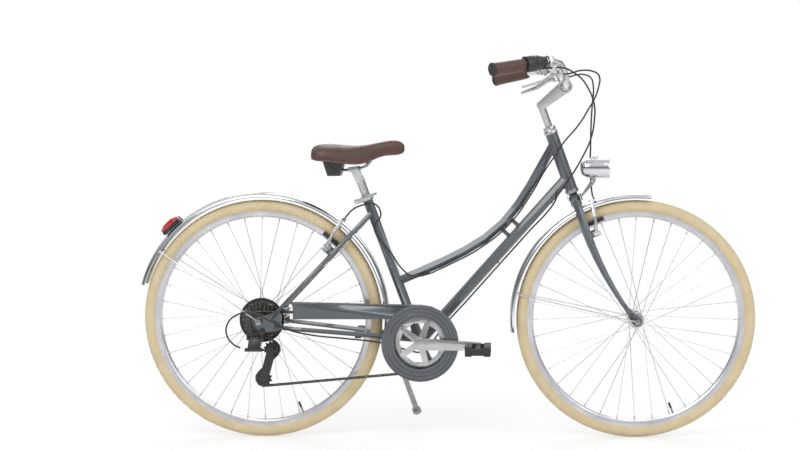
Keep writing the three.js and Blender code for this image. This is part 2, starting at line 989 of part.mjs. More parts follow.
const postDirection = point(-seatStayRise, 0, seatStayRun).normalize();

// The share of a curve, running in towards an axle, at which it is the brake's distance from that axle.
function postShare(curve, axleCentre) {
  let low = 0;
  let high = 1;
  for (let i = 0; i < 40; i += 1) {
    const middle = (low + high) / 2;
    const spot = curve.getPointAt(middle);
    if (Math.hypot(spot.x - axleCentre.x, spot.z - axleCentre.z) > brakeBossFromAxle) low = middle;
    else high = middle;
  }
  return (low + high) / 2;
}

function rearPostFoot(side) {
  const curve = seatStayCurve(side);
  return curve.getPointAt(postShare(curve, rearAxleCentre));
}

function brakePost(foot, direction) {
  return [
    rod(foot, along(foot, direction, brakeBossLength), brakeBossRadius, 6),
    rod(foot, along(foot, direction, brakePostLength), brakePostRadius, 6),
  ];
}

function bridge(spot) {
  const half = chainStayWaist;
  return rod(point(spot.x, -half, spot.z), point(spot.x, half, spot.z), bridgeRadius, 6);
}

// The point of a stay line that lies a bridge's distance outside the mudguard.
function bridgeSpot(start, end) {
  const distance = guardRadius + fitClearance + bridgeRadius;
  let low = 0;
  let high = 1;
  for (let i = 0; i < 40; i += 1) {
    const middle = (low + high) / 2;
    const spot = start.clone().lerp(end, middle);
    if (Math.hypot(spot.x, spot.z - wheelRadius) < distance) low = middle;
    else high = middle;
  }
  return start.clone().lerp(end, (low + high) / 2);
}

const brakeBridge = bridgeSpot(seatStaySpot(0, 0), seatStaySpot(1, 0));
const chainStayBridge = bridgeSpot(chainStayEnd, chainStayTop);

// A stub under a tube that carries a cable stop; the cable hangs below it.
function cableStop(spot, below, tubeRadius) {
  return rod(spot, along(spot, below, tubeRadius + cableStopHeight), cableStopRadius, 4);
}

function onDownTube(reach, below = 0) {
  return along(along(bottomBracket, downDirection, reach), downNormal, -below);
}

// The direction from the top tube to its cable, below it and turned to the right, clear of the struts.
function belowTopTube(share) {
  const tangent = topTubeCurve.getTangentAt(share);
  const turn = radians(topTubeStopTurn);
  return point(-tangent.z, 0, tangent.x).multiplyScalar(Math.cos(turn)).setY(-Math.sin(turn));
}

function strut(reach) {
  return rod(onDownTube(reach), onDownTube(reach, -strutLength), strutRadius, 5);
}

// The plate under the chain stays with the pin of the side stand.
const standPivot = point(standPivotReach, standPivotSide, standPivotHeight);
const standAxis = point(...standHinge).normalize();

function standMount() {
  const centre = point(standPivotReach, 0, standPlateHeight);
  const plate = box(standPlateLength, standPlateWidth, standPlateThickness, centre);
  const half = standEyeThickness / 2;
  const lugEnd = along(standPivot, standAxis, -half - fitClearance);
  const lugStart = along(lugEnd, standAxis, -standEyeThickness);
  const pinEnd = along(standPivot, standAxis, half);
  const bottom = lugStart.clone().setY(standPostSide);
  const top = bottom.clone().setZ(standPlateHeight);
  return [
    plate,
    rod(lugStart, lugEnd, standEyeRadius, 8),
    rod(lugStart, pinEnd, standPinRadius, 6),
    rod(top, bottom, standPostRadius, 6),
  ];
}

function frame() {
  const tubes = [
    rod(onSteering(headTubeBottom), onSteering(headTubeBottom + headTubeLength), headTubeRadius, 10),
    rod(bottomBracket, downTubeTop, downTubeRadius, 8),
    tube(topTubeCurve, topTubeRadius, 6, 9),
    rod(seatFoot, onSeatTube(seatTubeLength), seatTubeRadius, 10),
    rod(point(bottomBracket.x, -bottomBracketWidth / 2, bottomBracket.z),
      point(bottomBracket.x, bottomBracketWidth / 2, bottomBracket.z), bottomBracketRadius, 10),
    stay(seatStayCurve(1)),
    stay(seatStayCurve(-1)),
    stay(chainStayCurve(1)),
    stay(chainStayCurve(-1)),
    bridge(brakeBridge),
    bridge(chainStayBridge),
    strut(strutReach),
    strut(strutReach + strutSpacing),
    rearDropout(1, false),
    rearDropout(-1, true),
    ...brakePost(rearPostFoot(1), postDirection),
    ...brakePost(rearPostFoot(-1), postDirection),
    cableStop(onDownTube(lowerStopReach), downNormal.clone().negate(), downTubeRadius),
    cableStop(onDownTube(upperStopReach), downNormal.clone().negate(), downTubeRadius),
    ...topTubeStopShares.map((share) => cableStop(topTubeCurve.getPointAt(share), belowTopTube(share), topTubeRadius)),
    ...standMount(),
  ];
  const wide = rearDropoutSpacing;
  const bolt = point(hangerReach, 0, rearAxleCentre.z - hangerDrop);
  const bores = [
    bore(onSteering(headTubeBottom - cutOverrun), onSteering(headTubeBottom + headTubeLength + cutOverrun),
      headsetSeatRadius + fitClearance, 10),
    bore(onSeatTube(seatTubeLength - seatTubeBoreDepth), onSeatTube(seatTubeLength + cutOverrun),
      seatPostRadius + fitClearance, 10),
    bore(point(bottomBracket.x, -bottomBracketWidth, bottomBracket.z),
      point(bottomBracket.x, bottomBracketWidth, bottomBracket.z), cartridgeRadius + fitClearance, 10),
    bore(point(0, -wide, rearAxleCentre.z), point(0, wide, rearAxleCentre.z),
      rearAxleRadius + hubBoreClearance, 6),
    bore(point(bolt.x, -wide, bolt.z), point(bolt.x, 0, bolt.z), hangerBoltRadius + fitClearance, 6),
  ];
  return cut(join(tubes), bores);
}

piece('frame', frame(), paint);

// Bottom bracket
function cartridge() {
  const segments = 10;
  const hole = clearing(spindleRadius + fitClearance, segments);
  const inside = bottomBracketWidth / 2 + fitClearance;
  const outside = inside + cartridgeFlangeThickness;
  const profile = [
    [hole, -outside],
    [cartridgeFlangeRadius, -outside],
    [cartridgeFlangeRadius, -inside],
    [cartridgeRadius, -inside],
    [cartridgeRadius, inside],
    [cartridgeFlangeRadius, inside],
    [cartridgeFlangeRadius, outside],
    [hole, outside],
    [hole, -outside],
  ];
  return revolve(profile, segments, bottomBracket);
}

piece('bottom_bracket_cartridge', cartridge(), darkSteel);

// Fork
const forkTop = along(frontAxleCentre, point(-1, 0, 0), forkTopBack).setZ(frontAxleCentre.z + forkTopRise);
const forkTip = along(frontAxleCentre, point(-1, 0, 0), forkTipBack).setZ(frontAxleCentre.z + forkTipRise);
const forkLine = new THREE.CubicBezierCurve3(
  forkTop,
  along(forkTop, heading(forkHeadAngle), forkHeadReach),
  along(forkTip, heading(forkTipAngle), forkTipReach),
  forkTip,
);

function bladeSideAt(share) {
  const bow = Math.sqrt(Math.min(1, share / bladeBowShare));
  const top = THREE.MathUtils.lerp(bladeTopSide, bladeSide, bow);
  return THREE.MathUtils.lerp(top, bladeTipSide, Math.max(0, (share - bladeBowShare) / (1 - bladeBowShare)));
}

function bladeSpot(share, side) {
  return forkLine.getPoint(share).setY(side * bladeSideAt(share));
}

function blade(side) {
  const radiusAt = (share) => THREE.MathUtils.lerp(bladeTopRadius, bladeTipRadius, Math.max(0, (share - 0.2) / 0.8));
  return taper(bladeCurve(side), evenShares(8), 6, radiusAt);
}

function frontDropout(side) {
  const spacing = frontDropoutSpacing / 2;
  const inner = Math.min(side * spacing, side * (spacing + dropoutThickness));
  const outline = strap(frontAxleCentre, dropoutEyeRadius, forkTip, dropoutRootRadius);
  return sidePlate(outline, inner, inner + dropoutThickness);
}

const bladeStations = [0, 0.03, 0.08, 0.16, 0.28, 0.4, 0.52, 0.64, 0.76, 0.88, 1];

function bladeCurve(side) {
  return new THREE.CatmullRomCurve3(bladeStations.map((share) => bladeSpot(share, side)));
}

function frontPostFoot(side) {
  const curve = bladeCurve(side);
  return curve.getPointAt(postShare(curve, frontAxleCentre));
}

const frontPostTangent = forkLine.getTangentAt(postShare(forkLine, frontAxleCentre));
const frontPostDirection = point(-frontPostTangent.z, 0, frontPostTangent.x);

function fork() {
  const solids = [
    rod(onSteering(steererBottom), onSteering(steererTop), steererRadius, 12),
    rod(onSteering(steererBottom - crownDrop - crownHeight / 2), onSteering(steererBottom - crownDrop + crownHeight / 2),
      crownRadius, 8),
    rod(forkTop.clone().setY(-bladeTopSide), forkTop.clone().setY(bladeTopSide), crownBarRadius, 6),
    blade(1),
    blade(-1),
    frontDropout(1),
    frontDropout(-1),
    ...brakePost(frontPostFoot(1), frontPostDirection),
    ...brakePost(frontPostFoot(-1), frontPostDirection),
  ];
  const wide = frontDropoutSpacing;
  const bores = [
    bore(onSteering(steererBottom + crownHeight), onSteering(steererTop + cutOverrun), quillRadius + fitClearance, 12),
    bore(point(wheelbase, -wide, wheelRadius), point(wheelbase, wide, wheelRadius),
      frontAxleRadius + hubBoreClearance, 6),
  ];
  return cut(join(solids), bores);
}

piece('fork', fork(), paint);

// Headset: each cup seats in the head tube and round the steerer.
function headsetCup(seat, direction) {
  const segments = 10;
  const hole = clearing(steererRadius + fitClearance, segments);
  const lip = fitClearance;
  const profile = [
    [hole, -headsetCupHeight],
    [headsetSeatRadius, -headsetCupHeight],
    [headsetSeatRadius, lip],
    [headsetRadius, lip],
    [headsetRadius, lip + headsetCupHeight / 2],
    [locknutRadius, lip + headsetCupHeight],
    [hole, lip + headsetCupHeight],
    [hole, -headsetCupHeight],
  ];
  return revolve(profile, segments, seat, direction);
}

const steeringDown = steeringUp.clone().negate();
const headTubeTop = headTubeBottom + headTubeLength;
const locknutBottom = headTubeTop + headsetCupHeight + 2 * fitClearance;
piece('headset_upper_cup', headsetCup(onSteering(headTubeTop), steeringUp), alloy);
piece('headset_lower_cup', headsetCup(onSteering(headTubeBottom), steeringDown), darkSteel);
piece('headset_locknut', ring(locknutRadius, steererRadius + fitClearance, locknutBottom,
  locknutBottom + locknutHeight, 10, steeringFoot, steeringUp), alloy);

// Stem: a quill in the steerer and a curved neck that sweeps forward to the bar clamp.
const clampCentre = along(onSteering(stemKnee), point(1, 0, 0), stemReach).add(point(0, 0, stemRise));

function stem() {
  const knee = onSteering(stemKnee);
  const neckStart = onSteering(stemKnee - quillRadius);
  const neck = strap(neckStart, quillRadius + weldDepth, clampCentre, stemClampRadius - weldDepth);
  const half = stemThickness / 2;
  const clampHalf = stemClampWidth / 2;
  const solids = [
    rod(onSteering(quillBottom), knee, quillRadius, 12),
    sidePlate(neck, -half, half),
    rod(point(clampCentre.x, -clampHalf, clampCentre.z), point(clampCentre.x, clampHalf, clampCentre.z),
      stemClampRadius, 12),
  ];
  const hole = bore(point(clampCentre.x, -stemClampWidth, clampCentre.z),
    point(clampCentre.x, stemClampWidth, clampCentre.z), barRadius + fitClearance, 12);
  return cut(join(solids), [hole]);
}

piece('stem', stem(), alloy);

// Handlebar: it rises from the clamp and sweeps back to the grips.
const gripEnd = point(clampCentre.x - gripEndReach, -gripEndSide, clampCentre.z + gripEndRise);
const gripDirection = point(
  Math.cos(radians(gripRiseAngle)) * Math.cos(radians(gripHeading)),
  Math.cos(radians(gripRiseAngle)) * Math.sin(radians(gripHeading)),
  Math.sin(radians(gripRiseAngle)),
);

function handlebar() {
  const straightEnd = along(gripEnd, gripDirection, barStraight);
  const sleeveEnd = along(clampCentre, left, -barCentreWidth / 2);
  const bendControl = along(straightEnd, gripDirection, barBendReach);
  const centreControl = along(sleeveEnd, left, -barCentreReach);
  const [otherEnd, otherStraight, otherSleeve, otherBend, otherCentre] = [
    gripEnd, straightEnd, sleeveEnd, bendControl, centreControl].map(mirrored);
  const path = new THREE.CurvePath();
  path.add(new THREE.LineCurve3(gripEnd, straightEnd));
  path.add(new THREE.CubicBezierCurve3(straightEnd, bendControl, centreControl, sleeveEnd));
  path.add(new THREE.LineCurve3(sleeveEnd, otherSleeve));
  path.add(new THREE.CubicBezierCurve3(otherSleeve, otherCentre, otherBend, otherStraight));
  path.add(new THREE.LineCurve3(otherStraight, otherEnd));
  const straight = barStraight / path.getLength();
  const sleeve = (1 - barCentreWidth / path.getLength()) / 2;
  const half = [0, ...evenShares(6).map((share) => THREE.MathUtils.lerp(straight, sleeve, share))];
  const shares = [...half, ...half.map((share) => 1 - share).reverse()];
  return join([taper(path, shares, 8, () => barTubeRadius), rod(along(sleeveEnd, left, weldDepth), along(otherSleeve, left, -weldDepth), barRadius, 10)]);
}

piece('handlebar', handlebar(), chrome);

function onGrip(distance, side = -1) {
  const spot = along(gripEnd, gripDirection, distance);
  return side < 0 ? spot : mirrored(spot);
}

const gripDirectionLeft = mirrored(gripDirection);

function grip(side, length) {
  const segments = 10;
  const hole = clearing(barTubeRadius + fitClearance, segments);
  const direction = side < 0 ? gripDirection : gripDirectionLeft;
  const profile = [
    [0, -fitClearance - gripCapLength / 2],
    [gripCapRadius - weldDepth, -fitClearance - gripCapLength / 2],
    [gripCapRadius, 0],
    [gripCapRadius, gripCapLength / 2],
    [gripRadius, gripCapLength],
    [gripRadius, length],
    [hole, length],
    [hole, -fitClearance],
    [0, -fitClearance],
  ];
  return revolve(profile, segments, onGrip(0, side), direction);
}

piece('grip_right', grip(-1, gripLengthRight), leather);
piece('grip_left', grip(1, gripLengthLeft), leather);

// Twist shifter: the ribbed barrel turns on the bar, the housing is clamped inboard of it.
const shifterStart = gripLengthRight + runningClearance;
const shifterEnd = shifterStart + shifterGripLength;

function shifterGrip() {
  const ribs = 10;
  const sections = [];
  const grooved = shifterGripRadius - weldDepth / 2;
  for (let i = 0; i < ribs * 2; i += 1) {
    const angle = (fullTurn * i) / (ribs * 2);
    const radius = i % 2 === 0 ? shifterGripRadius : grooved;
    sections.push(new THREE.Vector2(radius * Math.cos(angle), radius * Math.sin(angle)));
  }
  const outline = new THREE.Shape(sections);
  const hole = new THREE.Path();
  hole.absarc(0, 0, clearing(barTubeRadius + runningClearance, ribs), 0, fullTurn, true);
  outline.holes.push(hole);
  const barrel = new THREE.ExtrudeGeometry(outline, { depth: shifterGripLength, bevelEnabled: false, curveSegments: 6 });
  barrel.rotateX(-halfTurn / 2);
  return aim(barrel, onGrip(shifterStart), gripDirection);
}

const housingStart = shifterEnd + runningClearance;

function shifterHousing() {
  const segments = 10;
  const hole = clearing(barTubeRadius + runningClearance, segments);
  const profile = [
    [hole, 0],
    [shifterHousingRadius, 0],
    [shifterHousingRadius, shifterHousingLength / 4],
    [shifterNoseRadius, shifterHousingLength],
    [hole, shifterHousingLength],
    [hole, 0],
  ];
  const barrel = revolve(profile, segments, onGrip(housingStart), gripDirection);
  const noseBack = along(onGrip(housingStart + shifterHousingLength / 2), point(0, 0, -1), shifterNoseRadius);
  const noseFront = along(noseBack, point(1, 0, 0), shifterHousingLength);
  const nose = rod(noseBack, noseFront, housingRadius * 2, 6, housingRadius + fitClearance);
  const channel = rod(onGrip(housingStart - cutOverrun), onGrip(housingStart + shifterHousingLength * 2), hole, segments);
  return cut(join([barrel, nose]), [channel]);
}

piece('shifter_grip', shifterGrip(), blackPlastic);
piece('shifter_housing', shifterHousing(), blackPlastic);

// A straight bar of rectangular section; its first size lies along the direction given.
function bar(start, end, across, startSizes, endSizes = startSizes) {
  const direction = end.clone().sub(start).normalize();
  const first = along(across, direction, -across.dot(direction)).normalize();
  const second = direction.clone().cross(first);
  const corners = [[1, 1], [-1, 1], [-1, -1], [1, -1]];
  const section = ([wide, deep], centre) => corners.map(([a, b]) => (
    along(along(centre, first, (a * wide) / 2), second, (b * deep) / 2)));
  return loft([section(startSizes, start), section(endSizes, end)]);
}

// Brake lever brackets and levers
const leverPivot = point(...leverPivotSpot);
const leverTip = point(...leverTipSpot);
const leverLine = leverTip.clone().sub(leverPivot).normalize();
const leverAxis = leverLine.clone().cross(point(0, 0, 1)).normalize();
const barrelStart = point(...barrelStartSpot);
const barrelEnd = point(...barrelEndSpot);

function brakeBracket(side) {
  const half = bracketRingWidth / 2;
  const centre = onGrip(bracketPlace);
  const lug = leverEyeWidth / 2 + runningClearance;
  const lugStart = along(leverPivot, leverAxis, -lug);
  const lugEnd = along(lugStart, leverAxis, -leverLugWidth);
  const root = along(centre, point(0, 0, -1), bracketRingRadius - weldDepth);
  const lugMiddle = lugStart.clone().lerp(lugEnd, 0.8);
  const solids = [
    revolve([[0, -half], [bracketRingRadius, -half], [bracketRingRadius, half], [0, half]], 8, centre, gripDirection),
    bar(root, lugMiddle, gripDirection, [bracketRingWidth, leverLugWidth]),
    rod(lugStart, lugEnd, leverEyeRadius, 6),
    rod(along(leverPivot, leverAxis, lug), lugEnd, leverPinRadius, 6),
    rod(barrelStart, barrelEnd, barrelRadius, 6),
    bar(barrelStart, lugMiddle, leverAxis, [leverLugWidth, leverLugWidth]),
  ];
  const hole = bore(along(centre, gripDirection, -bracketRingWidth), along(centre, gripDirection, bracketRingWidth),
    barTubeRadius + fitClearance);
  const bracket = cut(join(solids), [hole]);
  return side < 0 ? bracket : bracket.scale(1, -1, 1);
}

function brakeLever(side) {
  const half = leverEyeWidth / 2;
  const eye = rod(along(leverPivot, leverAxis, -half), along(leverPivot, leverAxis, half), leverEyeRadius, 8);
  const middle = leverPivot.clone().lerp(leverTip, 0.5).add(point(0, 0, -leverBow));
  const wide = [leverRadius * 2, leverEyeWidth];
  const solids = [
    eye,
    bar(leverPivot, middle, point(0, 0, 1), wide),
    bar(along(middle, leverLine, -weldDepth), along(leverTip, leverLine, leverTipRadius), point(0, 0, 1), wide,
      [leverTipRadius, leverTipRadius]),
  ];
  const pinHole = bore(along(leverPivot, leverAxis, -leverEyeWidth), along(leverPivot, leverAxis, leverEyeWidth),
    leverPinRadius + fitClearance, 6);
  const lever = cut(join(solids), [pinHole]);
  return side < 0 ? lever : lever.scale(1, -1, 1);
}

piece('brake_bracket_right', brakeBracket(-1), alloy);
piece('brake_bracket_left', brakeBracket(1), alloy);
piece('brake_lever_right', brakeLever(-1), alloy);
piece('brake_lever_left', brakeLever(1), alloy);

// Bell on the left of the bar: a domed shell on a post, with a thumb lever turning on the post
const bellSeat = onGrip(bellPlace, 1);
const bellPostTop = along(bellSeat, point(0, 0, 1), bellStandOff);
const up = point(0, 0, 1);

function bell() {
  const wall = bellWall;
  const dome = bellShares.map(([radius, height]) => [radius * bellRadius, height * bellHeight]);
  const inside = dome.map(([radius, height]) => (
    [Math.max(0, radius - wall), radius === 0 ? height - wall : height - wall * (height / bellHeight)]));
  const shell = revolve([...dome, ...inside.reverse(), dome[0]], 8, bellPostTop, up);
  const half = bellClampWidth / 2;
  const solids = [
    shell,
    rod(bellSeat, along(bellPostTop, up, bellHeight - wall / 2), bellPostRadius, 6),
    rod(along(bellSeat, gripDirectionLeft, -half), along(bellSeat, gripDirectionLeft, half), bracketRingRadius, 8),
    rod(along(bellSeat, up, bracketRingRadius - weldDepth), along(bellPostTop, up, -bellLeverThickness - fitClearance),
      bellPostRadius * 2, 6),
  ];
  const hole = bore(along(bellSeat, gripDirectionLeft, -bellClampWidth), along(bellSeat, gripDirectionLeft, bellClampWidth),
    barTubeRadius + fitClearance);
  return cut(join(solids), [hole]);
}

function bellLever() {
  const base = along(bellPostTop, up, -bellLeverThickness);
  const hub = ring(bellPostRadius * 2, bellPostRadius + fitClearance, 0, bellLeverThickness - fitClearance, 10, base, up);
  const out = point(-gripDirectionLeft.y, gripDirectionLeft.x, 0).normalize();
  const lift = (bellLeverThickness - fitClearance) / 2;
  const armStart = along(along(base, up, lift), out, -bellPostRadius * 1.5);
  const armEnd = along(along(base, up, lift), out, -bellRadius - bellLeverLength / 2);
  const arm = bar(armStart, armEnd, up, [lift * 2, bellPostRadius]);
  const pad = rod(along(armEnd, up, -lift), along(armEnd, up, lift), bellPostRadius * 1.5, 8);
  return join([hub, arm, pad]);
}

piece('bell', bell(), chrome);
piece('bell_lever', bellLever(), darkSteel);

// Headlamp: a bracket on the fork crown carries the tilting body
const forward = point(1, 0, 0);
const lampRear = point(wheelbase - lampRearReach, 0, wheelRadius + lampHeight);
const lampPivot = point(lampRear.x + lampPivotReach, 0, lampRear.z - lampPivotDrop);

function headlampBody() {
  const shell = lampShares.map(([radius, place]) => [radius * lampRadius, place * lampLength]);
  const inner = lampRadius - lampWall;
  const bowl = [
    [inner, lampLength],
    [inner, lampLength - lampLensDepth],
    [inner / 2, lampLength - lampBowlDepth],
    [0, lampLength - lampBowlDepth],
  ];
  const body = revolve([...shell, ...bowl], 12, lampRear, forward);
  const half = lampLugWidth / 2;
  const lugTop = point(lampPivot.x, 0, lampRear.z - lampRadius + lampWall);
  const knobBottom = point(lampPivot.x + lampKnobRadius / 2, 0, lampRear.z + lampRadius - lampWall * 2);
  const solids = [
    body,
    rod(along(lampPivot, left, -half), along(lampPivot, left, half), lampLugRadius, 8),
    bar(lampPivot, lugTop, left, [lampLugWidth, lampLugRadius * 2]),
    rod(knobBottom, along(knobBottom, up, lampKnobRadius + lampWall), lampKnobRadius, 8),
  ];
  const hole = bore(along(lampPivot, left, -lampLugWidth), along(lampPivot, left, lampLugWidth),
    leverPinRadius + fitClearance, 6);
  return cut(join(solids), [hole]);
}

function headlampLens() {
  const radius = lampRadius - lampWall - fitClearance;
  const front = lampLength - fitClearance;
  const rear = lampLength - lampLensDepth + fitClearance;
  return revolve([[0, rear], [radius, rear], [radius, front], [radius / 2, lampLength + lampWall], [0, lampLength + lampWall]],
    12, lampRear, forward);
}

function headlampBracket() {
  const cheekIn = lampLugWidth / 2 + fitClearance;
  const cheekOut = cheekIn + lampFootWidth / 2;
  const foot = onSteering(steererBottom, crownRadius + fitClearance + lampFootWidth / 4);
  const footTop = along(foot, steeringUp, lampFootHeight / 2);
  const footBottom = along(foot, steeringUp, -lampFootHeight / 2);
  return join([
    bar(footBottom, footTop, left, [cheekOut * 2, lampFootWidth / 2]),
    sidePlate(strap(foot, lampFootWidth / 4, lampPivot, lampLugRadius), cheekIn, cheekOut),
    rod(along(lampPivot, left, -lampLugWidth / 2), along(lampPivot, left, cheekOut), leverPinRadius, 6),
  ]);
}

piece('headlamp_body', headlampBody(), chrome);
piece('headlamp_lens', headlampLens(), clearPlastic);
piece('headlamp_bracket', headlampBracket(), darkSteel);

// Mudguards: a thin arched strip with two pairs of stays to the axle
function guardArch(axleCentre, radius, fromAngle, toAngle, steps) {
  const half = guardWidth / 2;
  const rings = [];
  for (let i = 0; i <= steps; i += 1) {
    const out = heading(THREE.MathUtils.lerp(fromAngle, toAngle, i / steps));
    const skin = ([across, drop], depth) => along(axleCentre, out, radius - depth - guardDepth * drop)
      .setY(across * (half - depth));
    const outer = guardShares.map((share) => skin(share, 0));
    const inner = guardShares.map((share) => skin(share, guardThickness)).reverse();
    rings.push([...outer, ...inner]);
  }
  return loft(rings);
}

function guardStay(axleCentre, axleRadius, radius, angle, spacing, side) {
  const eyeIn = spacing / 2 + dropoutThickness + fitClearance;
  const eyeOut = eyeIn + stayEyeThickness;
  const middle = side * (eyeIn + eyeOut) / 2;
  const half = stayEyeThickness / 2;
  const eyeCentre = axleCentre.clone().setY(middle);
  const out = heading(angle);
  const start = along(eyeCentre, out, stayEyeRadius - weldDepth);
  const knee = along(eyeCentre, out, stayKneeReach);
  const end = along(axleCentre, out, radius - guardDepth - guardThickness / 2);
  end.setY(side * (guardWidth - guardThickness) / 2);
  return [
    ring(stayEyeRadius, axleRadius + hubBoreClearance, -half, half, 6, eyeCentre),
    taper(new THREE.CatmullRomCurve3([start, knee, end]), [0, 0.06, 0.12, 1], 4, () => guardStayRadius),
  ];
}

function frontMudguard() {
  const tabBack = crownRadius + guardStayRadius;
  const tabRise = Math.sqrt((frontGuardRadius - guardDepth / 2) ** 2 - (forkRake + tabBack) ** 2);
  const tabFoot = onSteering(steererBottom, -tabBack);
  const tabStart = onSteering(tabRise, -tabBack);
  return join([
    guardArch(frontAxleCentre, frontGuardRadius, frontGuardFront, frontGuardBack, 10),
    ...guardStay(frontAxleCentre, frontAxleRadius, frontGuardRadius, frontStayAngle, frontDropoutSpacing, 1),
    ...guardStay(frontAxleCentre, frontAxleRadius, frontGuardRadius, frontStayAngle, frontDropoutSpacing, -1),
    bar(tabStart, tabFoot, left, [guardTabWidth, guardStayRadius]),
  ]);
}

function rearMudguard() {
  return join([
    guardArch(rearAxleCentre, guardRadius, rearGuardFront, rearGuardBack, 16),
    ...guardStay(rearAxleCentre, rearAxleRadius, guardRadius, rearStayAngle, rearDropoutSpacing, 1),
    ...guardStay(rearAxleCentre, rearAxleRadius, guardRadius, rearStayAngle, rearDropoutSpacing, -1),
  ]);
}

piece('front_mudguard', frontMudguard(), chrome);
piece('rear_mudguard', rearMudguard(), chrome);

// Tail lamp on the rear mudguard
const tailOut = heading(tailLampAngle);
const tailAlong = heading(tailLampAngle + 90);

function tailLampSpot(height, place) {
  return along(along(rearAxleCentre, tailOut, guardRadius + fitClearance + height), tailAlong, place);
}

function tailLampBody() {
  const half = tailLampLength / 2;
  return bar(tailLampSpot(tailBaseHeight / 2, -half), tailLampSpot(tailBaseHeight / 2, half), left,
    [tailLampWidth, tailBaseHeight]);
}

function tailLampLens() {
  const half = tailLampLength / 2;
  const low = tailBaseHeight + fitClearance;
  const middle = (low + tailLampHeight) / 2;
  const depth = tailLampHeight - low;
  const waist = tailLampWidth - tailLensDepth;
  return join([
    bar(tailLampSpot(middle, -half / 2), tailLampSpot(middle, half / 2), left, [tailLampWidth, depth]),
    bar(tailLampSpot(middle, half / 2 - weldDepth), tailLampSpot(low + depth / 4, half), left,
      [tailLampWidth, depth], [waist, depth / 2]),
    bar(tailLampSpot(middle, weldDepth - half / 2), tailLampSpot(low + depth / 4, -half), left,
      [tailLampWidth, depth], [waist, depth / 2]),
  ]);
}

piece('tail_lamp_body', tailLampBody(), blackPlastic);
piece('tail_lamp_lens', tailLampLens(), redPlastic);

// Rim brakes: each arm turns on its post; it carries a shoe beside the rim
function brakeArm(foot, postLine, armUp, axleCentre, rimSide) {
  const side = Math.sign(foot.y);
  const eyeStart = along(foot, postLine, brakeBossLength + fitClearance);
  const eyeEnd = along(foot, postLine, brakePostLength);
  const eyeCentre = eyeStart.clone().lerp(eyeEnd, 0.5);
  const rise = along(armUp.clone().multiplyScalar(Math.cos(radians(brakeArmLean))), postLine,
    Math.sin(radians(brakeArmLean)));
  const bottom = along(eyeCentre, rise, brakeArmEyeRadius - weldDepth);
  const top = along(eyeCentre, rise, brakeArmLength).setY(side * brakeArmTopSide);
  const elbow = bottom.clone().lerp(top, 0.5).setY(foot.y);
  const thick = brakeArmTopRadius * 2;
  const out = along(eyeCentre, rise, brakePadReach - brakePadHeight / 2).sub(axleCentre).setY(0).normalize();
  const padSide = rimSide + brakePadGap + brakePadThickness / 2;
  const pad = along(axleCentre, out, brakeTrackRadius).setY(side * padSide);
  const run = point(-out.z, 0, out.x);
  const half = brakePadLength / 2;
  return cut(join([
    rod(eyeStart, eyeEnd, brakeArmEyeRadius, 6),
    bar(bottom, elbow, left, [thick, brakeArmWidth], [thick, brakeArmWidth]),
    bar(along(elbow, rise, -weldDepth), top, left, [thick, brakeArmWidth], [thick, thick]),
    rod(pad.clone().setY(side * rimSide + side * brakePadThickness), pad.clone().setY(foot.y), brakePadStudRadius, 4),
    bar(along(pad, run, -half), along(pad, run, half), left, [brakePadThickness, brakePadHeight]),
  ]), [bore(along(foot, postLine, brakeBossLength - cutOverrun), along(eyeEnd, postLine, cutOverrun),
    brakePostRadius + fitClearance, 6)]);
}

const seatStayUp = point(seatStayRun, 0, seatStayRise).normalize();
const bladeUp = frontPostTangent.clone().negate();

piece('front_brake_arm_right', brakeArm(frontPostFoot(-1), frontPostDirection, bladeUp, frontAxleCentre, rimWidth / 2),
  alloy);
piece('front_brake_arm_left', brakeArm(frontPostFoot(1), frontPostDirection, bladeUp, frontAxleCentre, rimWidth / 2),
  alloy);
piece('rear_brake_arm_right', brakeArm(rearPostFoot(-1), postDirection, seatStayUp, rearAxleCentre, rimWidth / 2),
  alloy);
piece('rear_brake_arm_left', brakeArm(rearPostFoot(1), postDirection, seatStayUp, rearAxleCentre, rimWidth / 2),
  alloy);

// Chain line: the chain runs over the chainring, the lower and upper pulley and the smallest sprocket
function pitchRadius(teeth) {
  return chainPitch / (2 * Math.sin(halfTurn / teeth));
}

const upperPulleyCentre = point(upperPulleyReach, 0, wheelRadius - upperPulleyDrop);

function wrapAngle(angle) {
  return ((angle % fullTurn) + fullTurn) % fullTurn;
}

// Arcs and straights in the direction of travel, for one position of the derailleur cage.
function chainRoute(cageAngle) {
  const lowerPulleyCentre = along(upperPulleyCentre, heading(cageAngle), cageLength);
  const stops = [
    { centre: bottomBracket, teeth: chainringTeeth, turn: -1, side: -chainringSide },
    { centre: lowerPulleyCentre, teeth: pulleyTeeth, turn: -1, side: -smallCogSide },
    { centre: upperPulleyCentre, teeth: pulleyTeeth, turn: 1, side: -smallCogSide },
    { centre: rearAxleCentre, teeth: cogTeeth[0], turn: -1, side: -smallCogSide },
  ];
  const headings = stops.map((here, i) => {
    const next = stops[(i + 1) % stops.length];
    const dx = next.centre.x - here.centre.x;
    const dz = next.centre.z - here.centre.z;
    const offset = next.turn * pitchRadius(next.teeth) - here.turn * pitchRadius(here.teeth);
    return Math.atan2(dz, dx) - Math.asin(offset / Math.hypot(dx, dz));
  });
  const route = [];
  stops.forEach((here, i) => {
    const arriving = headings[(i + stops.length - 1) % stops.length];
    const leaving = headings[i];
    const next = stops[(i + 1) % stops.length];
    const radius = pitchRadius(here.teeth);
    const from = arriving - here.turn * (halfTurn / 2);
    const sweep = wrapAngle(here.turn * (leaving - arriving));
    route.push({ ...here, radius, from, links: (sweep * here.teeth) / fullTurn });
    const normal = point(-Math.sin(leaving), 0, Math.cos(leaving));
    const start = along(here.centre, normal, -here.turn * radius);
    const end = along(next.centre, normal, -next.turn * pitchRadius(next.teeth));
    const links = start.distanceTo(end) / chainPitch;
    route.push({ start: start.setY(here.side), end: end.setY(next.side), links, leaving });
  });
  return route;
}

